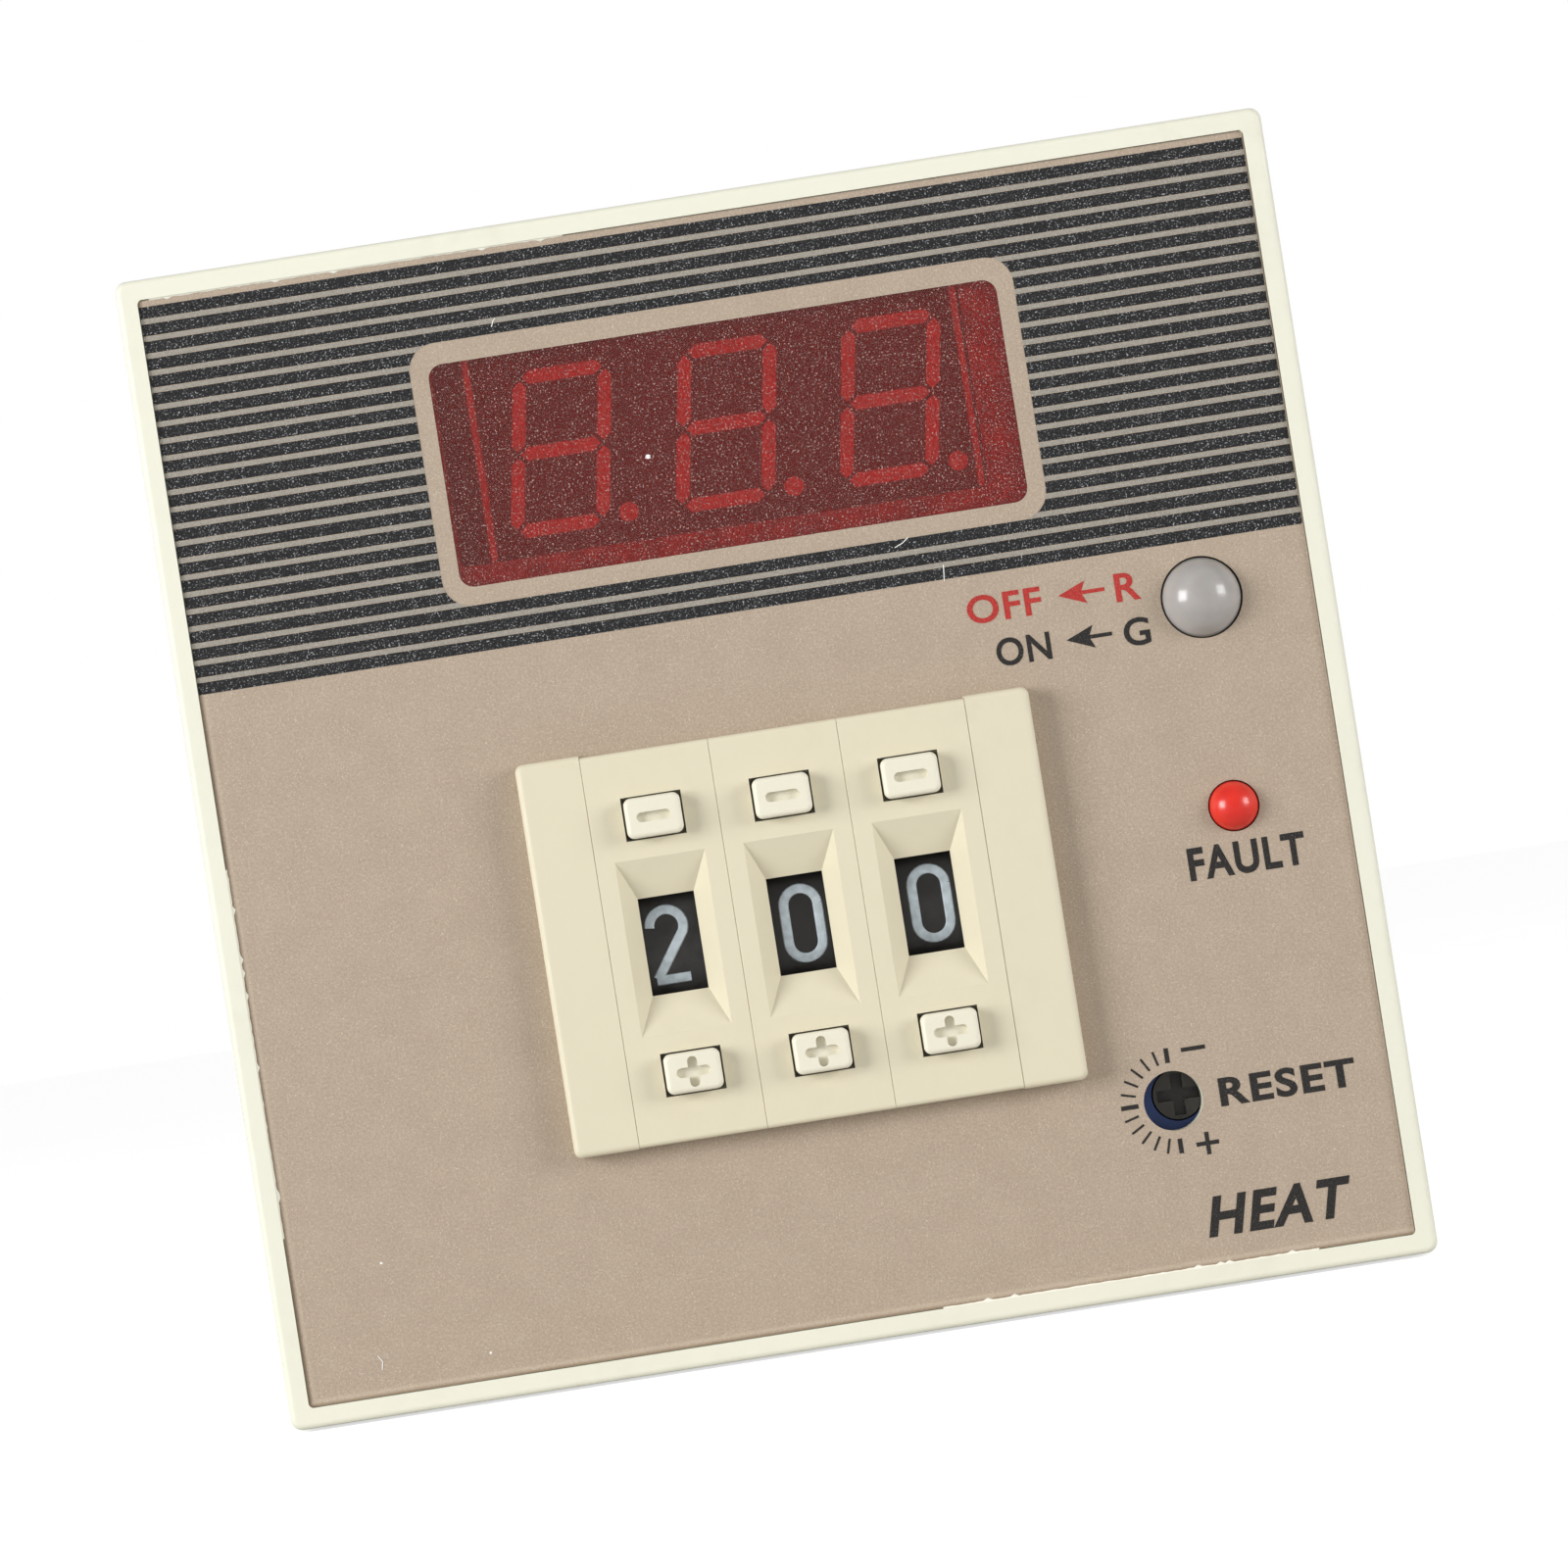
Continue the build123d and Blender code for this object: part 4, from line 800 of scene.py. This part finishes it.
def evened(stroke, step=0.22):
    """The stroke's points with more between them, so that none is farther than a step."""
    out = [stroke[0]]
    for (x0, z0), (x1, z1) in zip(stroke, stroke[1:]):
        count = max(1, round(Vector((x1 - x0, z1 - z0)).length / step))
        out += [(x0 + (x1 - x0) * i / count, z0 + (z1 - z0) * i / count)
                for i in range(1, count + 1)]
    return out


def tube(name, strokes, depth, swell=None):
    """Round strokes through points (x, z) in millimetres; swell gives each point's thickness."""
    curve = bpy.data.curves.new(name, "CURVE")
    curve.dimensions = "3D"
    curve.bevel_depth = depth
    curve.bevel_resolution = 2
    curve.use_fill_caps = True
    for stroke in strokes:
        line = curve.splines.new("POLY")
        line.points.add(len(stroke) - 1)
        for point, (x, z) in zip(line.points, stroke):
            point.co = (x * MM, 0, z * MM, 1)
            point.radius = swell() if swell else 1.0
    piece = bpy.data.objects.new(name, curve)
    bpy.context.scene.collection.objects.link(piece)
    pick(piece)
    bpy.ops.object.convert(target="MESH")
    return bpy.context.object


def numeral(value, wheel_r):
    """One numeral as flat strokes of ink, wrapped on the drum in front of its axis."""
    piece = tube("numeral", map(evened, numeral_strokes()[value]), STROKE / 2)
    piece.scale = (1, INK_FLATNESS, 1)
    settle(piece)
    low, high = extent(piece)
    apply(piece, "SIMPLE_DEFORM", deform_method="BEND", deform_axis="X",
          angle=(high.z - low.z) / wheel_r)
    piece.location = (0, -wheel_r, 0)
    settle(piece)
    return piece


class CONTROLLER_OT_numerals(Operator):
    """Print the numerals around the rims of the digit wheels"""

    bl_idname = "controller.numerals"
    bl_label = "Numerals"

    def execute(self, context):
        material, tree, shader = shell("numeral_ink")
        worn = noise(tree, 0.5 * MM, 4.0)
        mixed = blend_colour(tree, ramp(tree, worn.outputs["Fac"], 0.35, 0.7),
                             tuple(context.scene.controller_finish.numeral), (0.40, 0.46, 0.50))
        tree.links.new(mixed, shader.inputs["Base Color"])
        dial(shader, Roughness=0.45)
        for module, shown, off in zip(MODULES, (2, 0, 0), (-0.25 * MM, 0.13 * MM, 0.13 * MM)):
            low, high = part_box(f"digit_wheel_{module}")
            middle = (low + high) / 2
            wheel_r = (high.z - low.z) / 2
            made = []
            for value in range(NUMERALS):
                piece = numeral(value, wheel_r)
                piece.rotation_euler = Euler((-2 * pi * (value - shown) / NUMERALS, 0, 0))
                piece.location = (middle.x + off, middle.y, middle.z)
                settle(piece)
                made.append(piece)
            wheel = join(f"numerals_{module}", made)
            place(wheel, material, f"digit_wheel_{module}")
        return {"FINISHED"}


# ---------------------------------------------------------------- coils, flash and dust
class CONTROLLER_OT_springs(Operator):
    """Wind a coil in place of each button's spring"""

    bl_idname = "controller.springs"
    bl_label = "Button springs"

    def execute(self, context):
        wire_r, turns, steps_a_turn = 0.1 * MM, 5, 20
        travel, gap = 1.6 * MM, 0.02 * MM
        for sign in ("plus", "minus"):
            for module in MODULES:
                spring = bpy.data.objects[f"{sign}_spring_{module}"]
                low, high = extent(spring)
                size, middle = high - low, (low + high) / 2
                deselect()
                bpy.ops.mesh.primitive_circle_add(vertices=12, radius=wire_r,
                                                  location=(size.x / 2 - wire_r, 0, 0))
                coil = context.object
                coil.name = coil.data.name = f"{sign}_coil_{module}"
                settle(coil)
                apply(coil, "SCREW", axis="Y", angle=2 * pi * turns,
                      screw_offset=size.y - 2 * wire_r - gap, steps=turns * steps_a_turn,
                      render_steps=turns * steps_a_turn, use_smooth_shade=True)
                bpy.ops.object.mode_set(mode="EDIT")
                bpy.ops.mesh.select_all(action="SELECT")
                bpy.ops.mesh.fill_holes(sides=0)
                bpy.ops.mesh.normals_make_consistent(inside=False)
                bpy.ops.object.mode_set(mode="OBJECT")
                coil.location = (middle.x, high.y - extent(coil)[1].y, middle.z)
                settle(coil)
                place(coil, spring.active_material)
                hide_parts(spring.name)
                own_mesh(coil)
        return {"FINISHED"}


class CONTROLLER_OT_wear(Operator):
    """Add the ragged moulding flash inside the front frame and a few flecks of dust"""

    bl_idname = "controller.wear"
    bl_label = "Flash and dust"

    def execute(self, context):
        chance = random.Random(7)
        edge = FILM_HIGH.x / MM + 0.02
        runs = [
            ((5.0, -edge), (28.5, -edge)),
            ((-33.8, edge), (-8.0, edge)),
            ((-edge, -24.0), (-edge, -1.0)),
        ]
        step, widest, flatness = 0.28, 0.17 * MM, 0.5

        def ragged():
            """Mostly thin, now and then a small tongue."""
            return 0.25 + 0.25 * chance.random() + (0.8 if chance.random() < 0.07 else 0.0)

        flash = tube("edge_flash", [evened(run, step) for run in runs], widest, ragged)
        flash.scale = (1, flatness, 1)
        flash.location = (0, FILM_FACE, 0)
        settle(flash)
        place(flash, bpy.data.materials["ivory_case"])
        grains = []
        for x, z, radius in ((-4.9, 20.2, 0.17), (-28.8, -26.4, 0.09), (-23.0, -32.9, 0.09)):
            deselect()
            bpy.ops.mesh.primitive_ico_sphere_add(subdivisions=2, radius=radius * MM)
            grain = context.object
            for vertex in grain.data.vertices:
                vertex.co *= 0.75 + 0.5 * chance.random()
            grain.scale = (1, 0.35, 0.85)
            grain.location = (x * MM, FILM_FACE, z * MM)
            settle(grain)
            grains.append(grain)
        fibre_r, lift = 0.03 * MM, 0.02 * MM
        fibres = tube("fibres", [
            [(-13.2, 29.6), (-13.05, 29.95), (-12.9, 30.1)],
            [(12.0, 9.8), (12.05, 10.2), (12.1, 10.8)],
            [(9.3, 12.3), (9.8, 12.5), (10.2, 12.8)],
            [(-29.9, -32.0), (-29.65, -32.4), (-29.75, -32.9)],
        ], fibre_r)
        fibres.location = (0, FILM_FACE - lift, 0)
        settle(fibres)
        chalk = moulded("dust", (0.88, 0.87, 0.84), (0.6, 0.58, 0.52), 0.3, 0.7)
        place(join("dust", grains + [fibres]), chalk)
        return {"FINISHED"}


# ---------------------------------------------------------------- printing on the rear
class CONTROLLER_OT_terminal_numbers(Operator):
    """Print the terminals' numbers on the rear block"""

    bl_idname = "controller.terminal_numbers"
    bl_label = "Terminal numbers"

    def execute(self, context):
        low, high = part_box("terminal_screws")
        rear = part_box("terminal_clamps")[0].y
        count, head_r, row_z, thick = 6, 3.2 * MM, 16.0 * MM, 0.01 * MM
        pitch = (high.x - low.x - 2 * head_r) / (count - 1)
        made = []
        for index in range(2 * count):
            upper = index < count
            deselect()
            bpy.ops.object.text_add(rotation=(pi / 2, 0, pi))
            text = context.object.data
            text.body = str(index + 1)
            text.size = 2.9 * MM
            text.align_x = text.align_y = "CENTER"
            text.extrude = thick
            bpy.ops.object.convert(target="MESH")
            piece = context.object
            place_in_row = index % count
            from_left = count - 1 - place_in_row if upper else place_in_row
            piece.location = (low.x + head_r + pitch * from_left, rear + thick,
                              row_z if upper else -row_z)
            settle(piece)
            made.append(piece)
        material = printed("number_ink", (0.75, 0.75, 0.72), (0.9, 0.9, 0.9), 0.1, 0.1)
        place(join("terminal_numbers", made), material)
        return {"FINISHED"}


# ---------------------------------------------------------------- stage
KEY_AT, KEY_SIZE = (-0.78, -0.52, 0.19), 0.44
FILL_AT, FILL_SIZE = (0.80, -0.46, 0.17), 0.40
SHIFT = (0.0046, -0.0104)   # the view's shift, as a share of its width
FLOOR_GLOW = 0.68           # light that the floor adds where the camera looks at it


def look_from(azimuth, elevation):
    """Unit vector from the object to the camera."""
    return Vector((sin(azimuth) * cos(elevation), -cos(azimuth) * cos(elevation), sin(elevation)))


def area_light(name, at, power, size):
    """Square soft white light that faces the instrument."""
    lamp = bpy.data.lights.new(name, "AREA")
    lamp.energy, lamp.size = power, size
    made = bpy.data.objects.new(name, lamp)
    made.location = at
    made.rotation_euler = (-Vector(at)).to_track_quat("-Z", "Y").to_euler()
    bpy.context.scene.collection.objects.link(made)


def lay_floor():
    """Pale floor under the instrument, lit up a little where the camera sees it."""
    deselect()
    bpy.ops.mesh.primitive_plane_add(size=8.0, location=(0, 0, CAD_BOX[0][2]))
    floor = bpy.context.object
    floor.name = floor.data.name = "floor"
    settle(floor)
    material, tree, shader = shell("floor_pale")
    drift = noise(tree, 0.05, 3.0)
    tree.links.new(blend_colour(tree, ramp(tree, drift.outputs["Fac"], 0.3, 0.7),
                                (0.70, 0.70, 0.695), (0.73, 0.73, 0.725)),
                   shader.inputs["Base Color"])
    dial(shader, Roughness=0.7, Specular_IOR_Level=0.1, Emission_Color=(1, 1, 1, 1))
    seen = add(tree, "ShaderNodeLightPath")
    tree.links.new(multiply(tree, seen.outputs["Is Camera Ray"], FLOOR_GLOW),
                   shader.inputs["Emission Strength"])
    floor.data.materials.append(material)


def light_room(stage):
    """White room with a soft light on each side."""
    world = bpy.data.worlds.new("studio")
    world.use_nodes = True
    tree = world.node_tree
    backdrop = tree.nodes["Background"]
    dial(backdrop, Color=(1, 1, 1, 1))
    seen = add(tree, "ShaderNodeLightPath")
    tree.links.new(ramp(tree, seen.outputs["Is Camera Ray"], 0, 1, stage.ambience, 1.0),
                   backdrop.inputs["Strength"])
    bpy.context.scene.world = world
    area_light("key", KEY_AT, stage.key, KEY_SIZE)
    area_light("fill", FILL_AT, stage.fill, FILL_SIZE)


def aim_camera(stage):
    """Camera in front of the film's middle, turned about its own axis."""
    view = bpy.data.cameras.new("camera")
    view.lens = view.sensor_width * stage.distance / stage.view_width
    view.shift_x, view.shift_y = SHIFT
    view.clip_start = 0.01
    camera = bpy.data.objects.new("camera", view)
    bpy.context.scene.collection.objects.link(camera)
    middle = (FILM_LOW + FILM_HIGH) / 2
    middle.y = FILM_FACE
    outward = look_from(stage.azimuth, stage.elevation)
    camera.matrix_world = (
        Matrix.Translation(middle + outward * stage.distance)
        @ outward.to_track_quat("Z", "Y").to_matrix().to_4x4()
        @ Matrix.Rotation(stage.roll, 4, "Z")
    )
    bpy.context.scene.camera = camera


class CONTROLLER_OT_stage(Operator):
    """Add the floor, the lights and the camera"""

    bl_idname = "controller.stage"
    bl_label = "Stage"

    def execute(self, context):
        lay_floor()
        light_room(context.scene.controller_stage)
        aim_camera(context.scene.controller_stage)
        context.scene.view_settings.view_transform = "Standard"
        return {"FINISHED"}


# ---------------------------------------------------------------- panel and steps
OPERATORS = (
    CONTROLLER_OT_finishes, CONTROLLER_OT_stripes, CONTROLLER_OT_window_coat,
    CONTROLLER_OT_legends, CONTROLLER_OT_trimmer_scale, CONTROLLER_OT_numerals,
    CONTROLLER_OT_terminal_numbers, CONTROLLER_OT_springs, CONTROLLER_OT_wear,
    CONTROLLER_OT_stage,
)


class CONTROLLER_PT_panel(Panel):
    """Settings and steps of the controller"""

    bl_label = "Controller"
    bl_idname = "CONTROLLER_PT_panel"
    bl_space_type = "VIEW_3D"
    bl_region_type = "UI"
    bl_category = "Controller"

    def draw(self, context):
        for holder in SETTINGS:
            settings = getattr(context.scene, holder)
            box = self.layout.box()
            for name in settings.bl_rna.properties.keys():
                if name not in {"rna_type", "name"}:
                    box.prop(settings, name)
        for operator in OPERATORS:
            self.layout.operator(operator.bl_idname)


SETTINGS = {
    "controller_print": PrintSettings,
    "controller_finish": FinishSettings,
    "controller_stage": StageSettings,
}
CLASSES = (*SETTINGS.values(), *OPERATORS, CONTROLLER_PT_panel)


def register():
    for cls in CLASSES:
        bpy.utils.register_class(cls)
    for holder, cls in SETTINGS.items():
        setattr(bpy.types.Scene, holder, PointerProperty(type=cls))


def unregister():
    for holder in SETTINGS:
        delattr(bpy.types.Scene, holder)
    for cls in reversed(CLASSES):
        bpy.utils.unregister_class(cls)


def main():
    register()
    bpy.ops.controller.finishes()
    bpy.ops.controller.stripes()
    bpy.ops.controller.window_coat()
    bpy.ops.controller.legends()
    bpy.ops.controller.trimmer_scale()
    bpy.ops.controller.numerals()
    bpy.ops.controller.terminal_numbers()
    bpy.ops.controller.springs()
    bpy.ops.controller.wear()
    bpy.ops.controller.stage()


if __name__ == "__main__":
    main()
